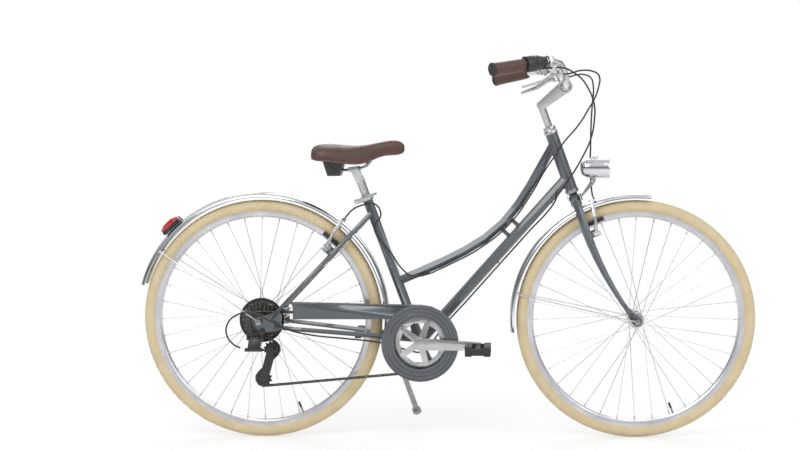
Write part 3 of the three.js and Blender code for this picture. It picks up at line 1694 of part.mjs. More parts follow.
function linkCount(cageAngle) {
  return chainRoute(cageAngle).reduce((sum, stretch) => sum + stretch.links, 0);
}

// The cage settles where the chain comes out at a whole even number of links.
function settledCageAngle() {
  const wanted = 2 * Math.round(linkCount(cageStartAngle) / 2);
  let low = cageStartAngle - cageSearch;
  let high = cageStartAngle + cageSearch;
  const rising = linkCount(high) > linkCount(low);
  for (let i = 0; i < 50; i += 1) {
    const middle = (low + high) / 2;
    if (linkCount(middle) < wanted === rising) low = middle;
    else high = middle;
  }
  return (low + high) / 2;
}

const cageAngle = settledCageAngle();
const route = chainRoute(cageAngle);
const lowerPulleyCentre = along(upperPulleyCentre, heading(cageAngle), cageLength);
const chainLinks = Math.round(linkCount(cageAngle));

// Every chain pin with its heading, counted in links from the start of the route.
function chainPins() {
  const pins = [];
  for (let k = 0; k < chainLinks; k += 1) {
    let rest = k;
    let i = 0;
    while (i < route.length - 1 && rest > route[i].links) {
      rest -= route[i].links;
      i += 1;
    }
    const stretch = route[i];
    if (stretch.centre) {
      const angle = stretch.from + (stretch.turn * rest * fullTurn) / stretch.teeth;
      const spot = point(
        stretch.centre.x + stretch.radius * Math.cos(angle),
        stretch.side,
        stretch.centre.z + stretch.radius * Math.sin(angle),
      );
      pins.push({ spot, along: angle + stretch.turn * (halfTurn / 2), stretch, angle });
    } else {
      const spot = stretch.start.clone().lerp(stretch.end, Math.min(1, rest / stretch.links));
      pins.push({ spot, along: stretch.leaving, stretch });
    }
  }
  return pins;
}

const pins = chainPins();

function phaseOn(index) {
  return pins.find((pin) => pin.stretch === route[index]).angle;
}

// Two side plates run from pin to pin, and a roller joins them at every pin.
function chain() {
  const inner = chainWidth / 2 - chainPlate;
  const outer = chainWidth / 2;
  const rise = chainHeight / 2;
  const spots = [];
  const order = [];
  pins.forEach((pin) => {
    const ahead = point(Math.cos(pin.along), 0, Math.sin(pin.along));
    const above = point(-ahead.z, 0, ahead.x);
    const put = (side, height, reach) => {
      const spot = along(along(pin.spot, above, height), ahead, reach);
      spots.push(spot.x, pin.spot.y + side, spot.z);
    };
    [-1, 1].forEach((side) => {
      put(side * outer, 0, 0);
      put(side * inner, rise, 0);
      put(side * inner, -rise, 0);
      put(side * inner, 0, chainRollerHalf);
    });
  });
  const quad = (a, b, c, d) => order.push(a, b, c, a, c, d);
  pins.forEach((pin, index) => {
    const i = index * 8;
    const j = ((index + 1) % pins.length) * 8;
    quad(i, j, j + 1, i + 1);
    quad(i, i + 2, j + 2, j);
    order.push(i + 1, j + 1, i + 3, i + 3, j + 1, j + 2, i + 3, j + 2, i + 2);
    const k = i + 4;
    const m = j + 4;
    quad(m, k, k + 1, m + 1);
    quad(k + 2, k, m, m + 2);
    order.push(m + 1, k + 1, k + 3, m + 1, k + 3, m + 2, m + 2, k + 3, k + 2);
    quad(i + 1, i + 3, k + 3, k + 1);
    quad(i + 3, i + 2, k + 2, k + 3);
    quad(i + 2, i + 1, k + 1, k + 2);
  });
  const geometry = new THREE.BufferGeometry();
  geometry.setAttribute('position', new THREE.Float32BufferAttribute(spots, 3));
  geometry.setIndex(order);
  return geometry;
}

// The outline of a sprocket, with a tooth gap at the given phase.
function toothedOutline(centre, teeth, phase) {
  const root = pitchRadius(teeth) - toothDepth;
  const tip = pitchRadius(teeth) + toothHeight;
  const step = fullTurn / teeth;
  const corners = [];
  for (let i = 0; i < teeth; i += 1) {
    const middle = phase + i * step;
    corners.push([root, middle], [tip, middle + step / 2]);
  }
  return new THREE.Shape(corners.map(([radius, angle]) => (
    new THREE.Vector2(centre.x + radius * Math.cos(angle), centre.z + radius * Math.sin(angle)))));
}

function sprocket(centre, teeth, side, phase, bore) {
  const outline = toothedOutline(centre, teeth, phase);
  if (bore) outline.holes.push(holeAt(centre, bore));
  const half = sprocketThickness / 2;
  return sidePlate(outline, side - half, side + half, 5);
}

function freewheel() {
  const half = sprocketThickness / 2;
  const [engaged, ...others] = cogTeeth;
  const discs = others.map((teeth, i) => {
    const side = -smallCogSide + (i + 1) * cogSpacing;
    const radius = pitchRadius(teeth) + toothHeight;
    return revolve([[0, side - half], [radius, side - half], [radius, side + half], [0, side + half]], 12, rearAxleCentre);
  });
  const body = revolve([[0, -freewheelOuter], [freewheelBodyRadius, -freewheelOuter],
    [freewheelBodyRadius, -freewheelInner], [0, -freewheelInner]], 10, rearAxleCentre);
  const hole = bore(onAxis(rearAxleCentre, -freewheelOuter - cutOverrun),
    onAxis(rearAxleCentre, -freewheelInner + cutOverrun), freewheelBore, 10);
  return cut(join([body, sprocket(rearAxleCentre, engaged, -smallCogSide, phaseOn(6)), ...discs]), [hole]);
}

function pulley(centre, index) {
  const half = pulleyBossWidth / 2;
  const origin = centre.clone().setY(-smallCogSide);
  const hole = pulleyPinRadius + fitClearance;
  return join([
    sprocket(centre, pulleyTeeth, -smallCogSide, phaseOn(index), hole + weldDepth),
    ring(pulleyBossRadius, hole, -half, half, 6, origin),
  ]);
}

piece('chain', chain(), darkSteel);
piece('freewheel', freewheel(), darkSteel);
const protectorSide = -(freewheelInner - runningClearance - protectorThickness);
piece('spoke_protector', ring(protectorRadius, freewheelBore, protectorSide - protectorThickness, protectorSide,
  14, rearAxleCentre), blackPlastic);

// Cranks and pedals
const crankHeading = heading(crankAngle);
const rightPedalCentre = along(bottomBracket, crankHeading, crankLength);
const leftPedalCentre = along(bottomBracket, crankHeading, -crankLength);
const pedalSpindleLength = pedalGap + pedalWidth - pedalPlate - fitClearance;

function crankArm(pedalCentre, inner, outer) {
  return sidePlate(strap(bottomBracket, crankBossRadius, pedalCentre, crankEyeRadius), inner, outer, 5);
}

function onAxis(centre, side) {
  return centre.clone().setY(side);
}

function rightCrank() {
  const outer = -rightCrankSide - crankThickness;
  const ringFace = -chainringSide - sprocketThickness / 2;
  const star = [];
  for (let i = 0; i < spiderArms; i += 1) {
    const out = heading(crankAngle + (i * 360) / spiderArms);
    const across = point(-out.z, 0, out.x);
    const tip = along(bottomBracket, out, spiderReach);
    const valley = along(bottomBracket, heading(crankAngle + ((i + 0.5) * 360) / spiderArms), crankBossRadius);
    star.push(along(tip, across, -spiderWidth / 2), along(tip, across, spiderWidth / 2), valley);
  }
  const spider = new THREE.Shape(star.map((spot) => new THREE.Vector2(spot.x, spot.z)));
  return join([
    rod(onAxis(bottomBracket, leftCrankSide + crankThickness), onAxis(bottomBracket, outer), spindleRadius, 10),
    rod(onAxis(bottomBracket, ringFace - spiderThickness), onAxis(bottomBracket, outer), crankBossRadius, 12),
    sidePlate(spider, ringFace - spiderThickness, ringFace + sprocketThickness / 4),
    sprocket(bottomBracket, chainringTeeth, -chainringSide, phaseOn(0), chainringBore),
    crankArm(rightPedalCentre, outer, -rightCrankSide),
    rod(onAxis(rightPedalCentre, -rightCrankSide - weldDepth),
      onAxis(rightPedalCentre, outer - pedalSpindleLength), pedalSpindleRadius, 8),
  ]);
}

function leftCrank() {
  const outer = leftCrankSide + crankThickness;
  const arm = join([
    crankArm(leftPedalCentre, leftCrankSide, outer),
    rod(onAxis(leftPedalCentre, leftCrankSide + weldDepth), onAxis(leftPedalCentre, outer + pedalSpindleLength),
      pedalSpindleRadius, 8),
  ]);
  return cut(arm, [bore(onAxis(bottomBracket, 0), onAxis(bottomBracket, outer + cutOverrun),
    spindleRadius + fitClearance, 10)]);
}

function pedal(centre, side) {
  const crankSide = side < 0 ? rightCrankSide : leftCrankSide;
  const start = side * (crankSide + crankThickness + pedalGap);
  const end = start + side * pedalWidth;
  const plate = side * pedalPlate;
  const middle = onAxis(centre, (start + end) / 2);
  const reach = (pedalLength - pedalBlock) / 2;
  const plateHeight = pedalHeight * 0.75;
  const body = join([
    rod(onAxis(centre, start), onAxis(centre, end), pedalBarrelRadius, 8),
    box(pedalLength - pedalPlate, pedalPlate, plateHeight, onAxis(centre, start + plate / 2)),
    box(pedalLength - pedalPlate, pedalPlate, plateHeight, onAxis(centre, end - plate / 2)),
    box(pedalBlock, pedalWidth - pedalPlate, pedalHeight, along(middle, forward, reach)),
    box(pedalBlock, pedalWidth - pedalPlate, pedalHeight, along(middle, forward, -reach)),
  ]);
  return cut(body, [bore(onAxis(centre, start - side * cutOverrun), onAxis(centre, end - plate),
    pedalSpindleRadius + fitClearance)]);
}

piece('crank_right', rightCrank(), alloy);
piece('crank_left', leftCrank(), alloy);
piece('pedal_right', pedal(rightPedalCentre, -1), blackRubber);
piece('pedal_left', pedal(leftPedalCentre, 1), blackRubber);

// Rear derailleur
const linkPivot = point(0, -linkPivotSide, wheelRadius - linkPivotDrop);
const linkEnd = along(linkPivot, point(0, -Math.sin(radians(linkAngle)), -Math.cos(radians(linkAngle))), linkLength);
const hangerBolt = point(hangerReach, 0, rearAxleCentre.z - hangerDrop);

function atReach(spot, reach) {
  return spot.clone().setX(reach);
}

// Two ears outside the link, with the pin that joins them.
function linkEars(pivot) {
  const earFront = linkFront + fitClearance;
  const earRear = -linkRear - fitClearance;
  return [
    rod(atReach(pivot, earFront), atReach(pivot, earFront + linkEarWidth), linkEarRadius, 8),
    rod(atReach(pivot, earRear - linkEarWidth), atReach(pivot, earRear), linkEarRadius, 8),
    rod(atReach(pivot, earRear - weldDepth), atReach(pivot, earFront + weldDepth), linkBoltRadius, 6),
  ];
}

function derailleurBracket() {
  const outside = -rearDropoutSpacing / 2 - dropoutThickness - fitClearance;
  const head = onAxis(hangerBolt, outside - derailleurHeadWidth);
  const middle = onAxis(hangerBolt, outside - derailleurHeadWidth / 2);
  const frontEar = atReach(linkPivot, linkFront + fitClearance + linkEarWidth / 2);
  const rearEar = atReach(linkPivot, -linkRear - fitClearance - linkEarWidth / 2);
  const rearTop = along(rearEar, up, linkEarRadius * 2).setY(middle.y);
  const slim = linkEarWidth - fitClearance * 2;
  const slimmer = slim - fitClearance * 2;
  return join([
    rod(onAxis(hangerBolt, -rearDropoutSpacing / 2 + fitClearance), head, hangerBoltRadius - fitClearance, 8),
    rod(onAxis(hangerBolt, outside), head, derailleurHeadRadius, 10),
    bar(middle, frontEar.clone().setY(middle.y), left, [slim, slim]),
    bar(middle, rearTop, left, [slimmer, slimmer]),
    bar(along(rearTop, up, slimmer / 2 - fitClearance), rearEar, forward, [slim, slim]),
    ...linkEars(linkPivot),
  ]);
}

function derailleurLink() {
  const half = linkEarRadius - fitClearance;
  const bores = [linkPivot, linkEnd].map((pivot) => (
    bore(atReach(pivot, -linkRear - cutOverrun), atReach(pivot, linkFront + cutOverrun), linkBoltRadius + fitClearance, 6)));
  const middle = (linkFront - linkRear) / 2;
  const plate = bar(atReach(linkPivot, middle), atReach(linkEnd, middle), forward, [linkRear + linkFront, linkThickness]);
  const rounds = [linkPivot, linkEnd].map((pivot) => (
    rod(atReach(pivot, -linkRear), atReach(pivot, linkFront), half, 8)));
  return cut(join([plate, ...rounds]), bores);
}

const cageOuterSide = -cagePlateOuter;
const cageInnerSide = -cagePlateInner;

function derailleurKnuckle() {
  const barrelOut = onAxis(upperPulleyCentre, linkEnd.y);
  const barrelIn = onAxis(upperPulleyCentre, cageOuterSide - fitClearance);
  const frontEar = atReach(linkEnd, linkFront + fitClearance + linkEarWidth / 2);
  const rearEar = atReach(linkEnd, -linkRear - fitClearance - linkEarWidth / 2);
  const outward = linkEarRadius + linkEarWidth / 2 + runningClearance;
  const backRear = along(rearEar, left, -outward);
  const backFront = along(frontEar, left, -outward);
  const slim = linkEarWidth - fitClearance * 2;
  const slimmer = slim - fitClearance * 2;
  const barrelMiddle = barrelOut.clone().lerp(barrelIn, 0.25);
  return cut(join([
    rod(barrelOut, barrelIn, derailleurHeadRadius, 10),
    bar(along(frontEar, forward, -linkEarWidth / 4), barrelMiddle, left, [slimmer, slimmer]),
    bar(backRear, backFront, up, [linkEarWidth, linkEarWidth]),
    bar(along(rearEar, left, linkEarWidth / 4), backRear, up, [slim, slim]),
    bar(along(frontEar, left, linkEarWidth / 4), backFront, up, [slim, slim]),
    ...linkEars(linkEnd),
  ]), [bore(along(barrelOut, left, -cutOverrun), along(barrelIn, left, cutOverrun), cagePivotRadius + fitClearance)]);
}

function derailleurCage() {
  const cover = strap(upperPulleyCentre, cagePlateRadius, lowerPulleyCentre, cagePlateRadius);
  return join([
    sidePlate(cover, cageOuterSide, cageOuterSide + cagePlateThickness),
    sidePlate(cover, cageInnerSide, cageInnerSide + cagePlateThickness),
    rod(onAxis(upperPulleyCentre, linkEnd.y), onAxis(upperPulleyCentre, cageOuterSide + weldDepth / 2),
      cagePivotRadius, 8),
    rod(onAxis(upperPulleyCentre, cageOuterSide), onAxis(upperPulleyCentre, cageInnerSide + weldDepth / 2),
      pulleyPinRadius, 8),
    rod(onAxis(lowerPulleyCentre, cageOuterSide), onAxis(lowerPulleyCentre, cageInnerSide + weldDepth / 2),
      pulleyPinRadius, 8),
  ]);
}

piece('derailleur_bracket', derailleurBracket(), darkSteel);
piece('derailleur_link', derailleurLink(), darkSteel);
piece('derailleur_knuckle', derailleurKnuckle(), blackPlastic);
piece('derailleur_cage', derailleurCage(), steel);
piece('upper_pulley', pulley(upperPulleyCentre, 4), blackPlastic);
piece('lower_pulley', pulley(lowerPulleyCentre, 2), blackPlastic);

// Chain guard: a ringed face in front of the chainring and a long cover over the upper chain run
function guardSkirt(fromAngle, toAngle, steps) {
  const rings = [];
  for (let i = 0; i <= steps; i += 1) {
    const out = heading(THREE.MathUtils.lerp(fromAngle, toAngle, i / steps));
    const outer = along(bottomBracket, out, guardRingOuter - fitClearance);
    const inner = along(bottomBracket, out, guardRingOuter - fitClearance - guardFaceThickness);
    const near = -guardFaceSide - guardFaceThickness;
    const far = -guardFaceSide + guardSkirtDepth;
    rings.push([onAxis(outer, near), onAxis(inner, near), onAxis(inner, far), onAxis(outer, far)]);
  }
  return loft(rings);
}

const armTopStart = along(bottomBracket, heading(guardArmTopAngle), guardRingOuter);
const armTopEnd = point(guardArmRear, 0, wheelRadius + guardArmTop);
const armBottomEnd = point(guardArmRear, 0, wheelRadius + guardArmBottom);
const armBottomStart = along(bottomBracket, heading(guardArmBottomAngle), guardRingOuter);

function guardStrip(corner, end) {
  const start = along(corner, end.clone().sub(corner).normalize(), -guardSkirtDepth);
  const inward = point(-(end.z - start.z), 0, end.x - start.x).normalize();
  const middleSide = (-guardFaceSide - guardFaceThickness - guardFaceSide + guardSkirtDepth) / 2;
  const lift = (spot) => along(spot, inward, guardFaceThickness / 2 + fitClearance).setY(middleSide);
  return bar(lift(start), lift(end), left, [guardSkirtDepth, guardFaceThickness]);
}

function chainGuard() {
  const near = -guardFaceSide - guardFaceThickness;
  const far = -guardFaceSide;
  const middle = (guardRingInner + guardRingOuter) / 2;
  const armRoot = middle + guardFaceThickness;
  const profile = [
    [guardRingInner, far],
    [guardRingInner, near - guardRidge],
    [middle, near - guardValley],
    [guardRingOuter, near - guardRidge],
    [guardRingOuter, far],
    [guardRingInner, far],
  ];
  const face = revolve(profile, guardSegments, bottomBracket);
  const arm = new THREE.Shape([
    along(bottomBracket, heading(guardArmTopAngle), armRoot),
    armTopStart,
    armTopEnd,
    armBottomEnd,
    armBottomStart,
    along(bottomBracket, heading(guardArmBottomAngle), armRoot),
  ].map((spot) => new THREE.Vector2(spot.x, spot.z)));
  const tabStart = point(guardTabReach, 0, wheelRadius + guardTabRise);
  const tabEnd = point(guardTabEndReach, 0, wheelRadius + guardTabEndRise);
  const shell = revolve([[guardEyeBore, guardEyeSide], [guardEyeRadius, guardEyeSide],
    [guardEyeRadius, guardEyeSide + protectorThickness], [guardEyeBore, guardEyeSide + protectorThickness],
    [guardEyeBore, guardEyeSide]], 10, bottomBracket);
  const eyeOut = heading(guardEyeAngle);
  const armStart = along(bottomBracket, eyeOut, (guardEyeBore + guardEyeRadius) / 2);
  const facet = guardRingOuter * Math.cos(halfTurn / guardSegments);
  const armEnd = along(bottomBracket, eyeOut, facet - guardFaceThickness - fitClearance);
  const eyeMiddle = guardEyeSide + protectorThickness / 2;
  return join([
    face,
    sidePlate(arm, near, far),
    guardSkirt(guardSkirtStart, guardSkirtEnd, 11),
    guardStrip(armTopStart, armTopEnd),
    sidePlate(strap(tabStart, guardTabRadius, tabEnd, guardTabRadius), near, far),
    shell,
    bar(onAxis(armStart, eyeMiddle), onAxis(armEnd, eyeMiddle), left, [protectorThickness, guardTabRadius * 4]),
    bar(onAxis(armEnd, near), onAxis(armEnd, guardEyeSide + protectorThickness), eyeOut,
      [guardFaceThickness, guardTabRadius * 4]),
  ]);
}

piece('chain_guard', chainGuard(), paint);

// Seat post with the rail clamp, the collar and its lever
const railPoints = railSpots.map((spot) => point(...spot));
const railMirror = railPoints.map(mirrored);
const railFlatStart = railPoints[railFlatIndex];
const railFlatEnd = railPoints[railFlatIndex + 2];
const railLine = railFlatEnd.clone().sub(railFlatStart).normalize();

function seatPost() {
  const postTop = onSeatTube(seatTubeLength + seatHeadHeight);
  const clampSpot = railFlatStart.clone().lerp(railFlatEnd, 0.5).setY(0);
  const half = seatHeadLength / 2;
  const solids = [
    rod(onSeatTube(seatTubeLength - seatInsertion), postTop, seatPostRadius, 12),
    bar(along(clampSpot, railLine, -half), along(clampSpot, railLine, half), left,
      [railSpacing + seatPostRadius, seatHeadDepth]),
    bar(along(postTop, seatUp, -seatPostRadius * 1.5), clampSpot, left, [seatPostRadius * 2, seatPostRadius * 2],
      [seatPostRadius * 2, seatHeadLength * 0.75]),
  ];
  const channels = [railFlatStart, mirrored(railFlatStart)].map((spot) => (
    bore(along(spot, railLine, -seatHeadLength), along(spot, railLine, seatHeadLength * 3), railRadius + runningClearance, 6)));
  return cut(join(solids), channels);
}

const collarTop = seatTubeLength - fitClearance;
const collarMiddle = onSeatTube(collarTop - seatClampHeight / 2);
const collarBack = point(-seatUp.z, 0, seatUp.x);
const collarLug = along(collarMiddle, collarBack, seatClampRadius + seatLugReach);

function seatClamp() {
  const half = seatClampHeight / 2;
  return cut(join([
    rod(along(collarMiddle, seatUp, -half), along(collarMiddle, seatUp, half), seatClampRadius, 12),
    bar(along(collarMiddle, collarBack, seatTubeRadius), collarLug, left, [seatLugWidth, seatClampHeight]),
    rod(along(collarLug, left, -seatLugWidth / 2), along(collarLug, left, seatLugWidth / 2), seatLugRadius, 10),
    rod(along(collarLug, left, -seatLugWidth / 2), along(collarLug, left, -seatLugWidth / 2 - seatPivotStandOff),
      leverPinRadius, 6),
  ]), [bore(along(collarMiddle, seatUp, -seatClampHeight), along(collarMiddle, seatUp, seatClampHeight),
    seatTubeRadius + fitClearance, 10)]);
}

function seatClampLever() {
  const start = along(collarLug, left, -seatLugWidth / 2 - seatPivotStandOff - fitClearance - seatLeverThickness / 2);
  const end = point(...seatLeverTip);
  const direction = end.clone().sub(start).normalize();
  return join([
    rod(along(start, seatUp, -seatLugRadius), along(start, seatUp, seatLugRadius), seatLeverThickness / 2, 8),
    bar(start, along(start, direction, seatLeverLength), left, [seatLeverThickness, seatLugRadius * 1.5],
      [seatLeverThickness / 2, seatLugRadius]),
  ]);
}

piece('seat_post', seatPost(), alloy);
piece('seat_clamp', seatClamp(), alloy);
piece('seat_clamp_lever', seatClampLever(), alloy);

// Saddle: two rails, the suspension block at the back and the padded cover
function saddleRails() {
  const [low, high] = suspensionSpots.map((spot) => point(...spot));
  const nose = [railPoints[railPoints.length - 1], railMirror[railMirror.length - 1]];
  return join([
    tube(railPoints, railRadius, 5, 10),
    tube(railMirror, railRadius, 5, 10),
    rod(along(nose[0], left, -railRadius), along(nose[1], left, railRadius), railRadius * 1.5, 6),
    bar(low, high, forward, suspensionBottom, suspensionTop),
  ]);
}

// Sections of the cover from the back to the nose; each gives its place, half width, top and skirt height.
function coverSection([reach, halfWidth, top, skirt]) {
  const half = saddleShares.map(([across, height]) => (
    point(reach, across * halfWidth, THREE.MathUtils.lerp(skirt, top, height))));
  return [...half, ...half.map(mirrored).reverse()];
}

function hollowSection([reach, halfWidth, top, skirt]) {
  const half = halfWidth - Math.min(saddleSkirtThickness, halfWidth / 3);
  const ceiling = Math.max(top - saddlePadding, skirt + fitClearance);
  return [
    point(reach, half, skirt - cutOverrun),
    point(reach, half * 0.85, ceiling),
    point(reach, -half * 0.85, ceiling),
    point(reach, -half, skirt - cutOverrun),
  ];
}

function saddleCover() {
  const hollow = loft(saddleSections.slice(1, -2).map(hollowSection));
  return cut(loft(saddleSections.map(coverSection)), [hollow]);
}

piece('saddle_rails', saddleRails(), darkSteel);
piece('saddle_cover', saddleCover(), leather);

// Side stand
function sideStand() {
  const half = standEyeThickness / 2 - fitClearance;
  const foot = point(standFootReach, standFootSide, standFootHeight);
  const down = foot.clone().sub(standPivot).normalize();
  const eye = rod(along(standPivot, standAxis, -half), along(standPivot, standAxis, half), standEyeRadius, 8);
  const hole = bore(along(standPivot, standAxis, -standEyeThickness), along(standPivot, standAxis, standEyeThickness),
    standPinRadius + fitClearance, 6);
  return cut(join([
    eye,
    rod(standPivot, foot, standRadius, 6),
    rod(along(foot, down, -standFootRadius), foot, standFootRadius, 8),
  ]), [hole]);
}

piece('side_stand', sideStand(), alloy);

// Cables
const cableDrop = cableStopHeight + cableStopGap + housingRadius;

function cable(spots, steps) {
  return tube(spots.map((spot) => (spot.isVector3 ? spot : point(...spot))), housingRadius, 4, steps);
}

function underDownTube(reach) {
  return onDownTube(reach, downTubeRadius + cableDrop);
}

function underTopTube(share) {
  return along(topTubeCurve.getPointAt(share), belowTopTube(share), topTubeRadius + cableDrop);
}

const underTopShares = [0.13, 0.25, 0.42, 0.6, 0.75, 0.81, 0.86];
const underDownReaches = [556, 440, 321, 180, 75];

piece('front_brake_cable', cable(frontBrakeRoute, 20), blackRubber);
piece('rear_brake_cable', cable([...rearBrakeRoute, ...underTopShares.map(underTopTube), ...rearLoopRoute], 38),
  blackRubber);
piece('gear_cable', cable([...gearStartRoute, ...underDownReaches.map(underDownTube), ...gearEndRoute], 36),
  blackRubber);

// The finished bike is centred over its own footprint.
const extent = new THREE.Box3().setFromObject(bike);
bike.position.x = -(extent.min.x + extent.max.x) / 2;

export default bike;
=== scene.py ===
import bpy
import bmesh
import json
import math
from mathutils import Matrix, Vector


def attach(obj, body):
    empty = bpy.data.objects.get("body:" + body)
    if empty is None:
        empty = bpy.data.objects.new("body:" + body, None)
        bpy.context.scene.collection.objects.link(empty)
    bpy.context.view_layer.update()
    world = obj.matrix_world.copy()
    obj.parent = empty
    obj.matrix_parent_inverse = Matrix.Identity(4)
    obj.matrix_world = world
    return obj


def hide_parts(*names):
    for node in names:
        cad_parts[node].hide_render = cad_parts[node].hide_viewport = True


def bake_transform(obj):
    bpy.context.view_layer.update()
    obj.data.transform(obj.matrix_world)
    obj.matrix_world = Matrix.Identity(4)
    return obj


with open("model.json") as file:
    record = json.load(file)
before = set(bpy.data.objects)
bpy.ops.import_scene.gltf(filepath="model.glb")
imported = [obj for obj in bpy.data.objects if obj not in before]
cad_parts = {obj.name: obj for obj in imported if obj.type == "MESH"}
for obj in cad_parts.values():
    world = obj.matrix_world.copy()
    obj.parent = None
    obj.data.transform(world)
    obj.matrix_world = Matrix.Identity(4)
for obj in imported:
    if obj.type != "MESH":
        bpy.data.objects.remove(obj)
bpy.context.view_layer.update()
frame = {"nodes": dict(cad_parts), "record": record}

nodes = frame["nodes"]
body_of = {node: body for body, members in frame["record"]["behaviour"]["bodies"].items() for node in members}
slot_of = {part["node"]: part["material_slot"] for part in frame["record"]["subparts"]}

# Lengths are in mm unless a comment says otherwise; MM turns them into the scene's metres.
MM = 0.001
MIDDLE = 541.4615                   # the bike's middle, ahead of the rear axle
WHEEL = 349.0                       # a wheel's radius with its tyre
BASE = 1090.0                       # from axle to axle
HEAD_LEAN = math.radians(20)        # the steering axis leans back by this angle


def at(x, y, z):
    """A place measured in mm from the rear axle's foot, as the frame's drawing has it."""
    return Vector((x - MIDDLE, y, z)) * MM


def heading(angle):
    """The direction at an angle in degrees, turned up from straight ahead."""
    turn = math.radians(angle)
    return Vector((math.cos(turn), 0, math.sin(turn)))


AHEAD = Vector((1, 0, 0))
LEFT = Vector((0, 1, 0))
UP = Vector((0, 0, 1))
STEERING_UP = Vector((-math.sin(HEAD_LEAN), 0, math.cos(HEAD_LEAN)))
STEERING_FORWARD = Vector((math.cos(HEAD_LEAN), 0, math.sin(HEAD_LEAN)))
STEERING_FOOT = at(1044.89, 0, 332.58)
REAR_AXLE = at(0, 0, WHEEL)
FRONT_AXLE = at(BASE, 0, WHEEL)
CRANK_AXLE = at(463, 0, 286)


def on_steering(reach, ahead=0.0):
    """A place up the steering axis and ahead of it."""
    return STEERING_FOOT + STEERING_UP * reach * MM + STEERING_FORWARD * ahead * MM


# Camera: the photograph's own place, fitted to both wheels
PHOTO_WIDTH = 800                   # pixels
FOCAL_LENGTH = 1242.8               # pixels
OFF_CENTRE = (-99.6, 17.5)          # pixels
SENSOR_WIDTH = 36
CAMERA_YAW = math.radians(0.693)
CAMERA_PITCH = math.radians(4.80)


def set_camera():
    camera = bpy.data.objects.new("camera", bpy.data.cameras.new("camera"))
    bpy.context.scene.collection.objects.link(camera)
    look = Vector((-math.sin(CAMERA_YAW) * math.cos(CAMERA_PITCH),
                   math.cos(CAMERA_YAW) * math.cos(CAMERA_PITCH), -math.sin(CAMERA_PITCH)))
    camera.location = at(736, -3610, 877)
    camera.rotation_euler = look.to_track_quat("-Z", "Y").to_euler()
    camera.data.lens = SENSOR_WIDTH * FOCAL_LENGTH / PHOTO_WIDTH
    camera.data.sensor_width = SENSOR_WIDTH
    camera.data.shift_x = OFF_CENTRE[0] / PHOTO_WIDTH
    camera.data.shift_y = OFF_CENTRE[1] / PHOTO_WIDTH
    bpy.context.scene.camera = camera


set_camera()


# Node trees
def add_node(tree, kind, values=None, **settings):
    """A new node: first its settings, then the values of its inputs, which a setting can change."""
    node = tree.nodes.new(kind)
    for key, value in settings.items():
        setattr(node, key, value)
    for key, value in (values or {}).items():
        node.inputs[key].default_value = value
    return node


def connect(tree, *links):
    """Each link is a node, its output, the node it leads to and that one's input."""
    for start, output, end, entry in links:
        tree.links.new(start.outputs[output], end.inputs[entry])


def new_group(name, inputs, outputs):
    group = bpy.data.node_groups.new(name, "ShaderNodeTree")
    for label, kind, value in inputs:
        socket = group.interface.new_socket(label, in_out="INPUT", socket_type=kind)
        socket.default_value = value
    for label, kind in outputs:
        group.interface.new_socket(label, in_out="OUTPUT", socket_type=kind)
    return group, group.nodes.new("NodeGroupInput"), group.nodes.new("NodeGroupOutput")


def make_patina():
    """Blotches for the colour and the roughness, and a fine height for the bump."""
    number, tint = "NodeSocketFloat", "NodeSocketColor"
    group, given, made = new_group(
        "patina",
        [("Scale", number, 20.0), ("Grain", number, 900.0), ("Low", number, 0.3), ("High", number, 0.5),
         ("Color A", tint, (0.5, 0.5, 0.5, 1)), ("Color B", tint, (0.4, 0.4, 0.4, 1))],
        [("Color", tint), ("Roughness", number), ("Height", number)])
    place = add_node(group, "ShaderNodeTexCoord")
    blotch = add_node(group, "ShaderNodeTexNoise", {"Detail": 6})
    grain = add_node(group, "ShaderNodeTexNoise", {"Detail": 3})
    spread = add_node(group, "ShaderNodeMapRange", {"From Min": 0.3, "From Max": 0.7})
    rough = add_node(group, "ShaderNodeMapRange")
    blend = add_node(group, "ShaderNodeMix", data_type="RGBA")
    connect(group,
            (place, "Object", blotch, "Vector"),
            (place, "Object", grain, "Vector"),
            (given, "Scale", blotch, "Scale"),
            (given, "Grain", grain, "Scale"),
            (blotch, "Fac", spread, "Value"),
            (spread, "Result", rough, "Value"),
            (given, "Low", rough, "To Min"),
            (given, "High", rough, "To Max"),
            (spread, "Result", blend, "Factor"),
            (given, "Color A", blend, "A"),
            (given, "Color B", blend, "B"),
            (blend, "Result", made, "Color"),
            (rough, "Result", made, "Roughness"),
            (grain, "Fac", made, "Height"))
    return group


def make_wear():
    """A mask that is 1 on edges, broken up by noise."""
    group, given, made = new_group("edge_wear", [("Amount", "NodeSocketFloat", 0.5)],
                                   [("Mask", "NodeSocketFloat")])
    place = add_node(group, "ShaderNodeTexCoord")
    noise = add_node(group, "ShaderNodeTexNoise", {"Scale": 160, "Detail": 5})
    shape = add_node(group, "ShaderNodeNewGeometry")
    edge = add_node(group, "ShaderNodeMapRange", {"From Min": 0.53, "From Max": 0.62})
    broken = add_node(group, "ShaderNodeMapRange", {"From Min": 0.42, "From Max": 0.6})
    both = add_node(group, "ShaderNodeMath", operation="MULTIPLY")
    share = add_node(group, "ShaderNodeMath", operation="MULTIPLY")
    connect(group,
            (place, "Object", noise, "Vector"),
            (noise, "Fac", broken, "Value"),
            (shape, "Pointiness", edge, "Value"),
            (edge, "Result", both, 0),
            (broken, "Result", both, 1),
            (both, "Value", share, 0),
            (given, "Amount", share, 1),
            (share, "Value", made, "Mask"))
    return group


# Finishes
PATINA = make_patina()
WEAR = make_wear()
COAT_ROUGHNESS = 0.05
BUMP_DISTANCE = 0.0004              # metres


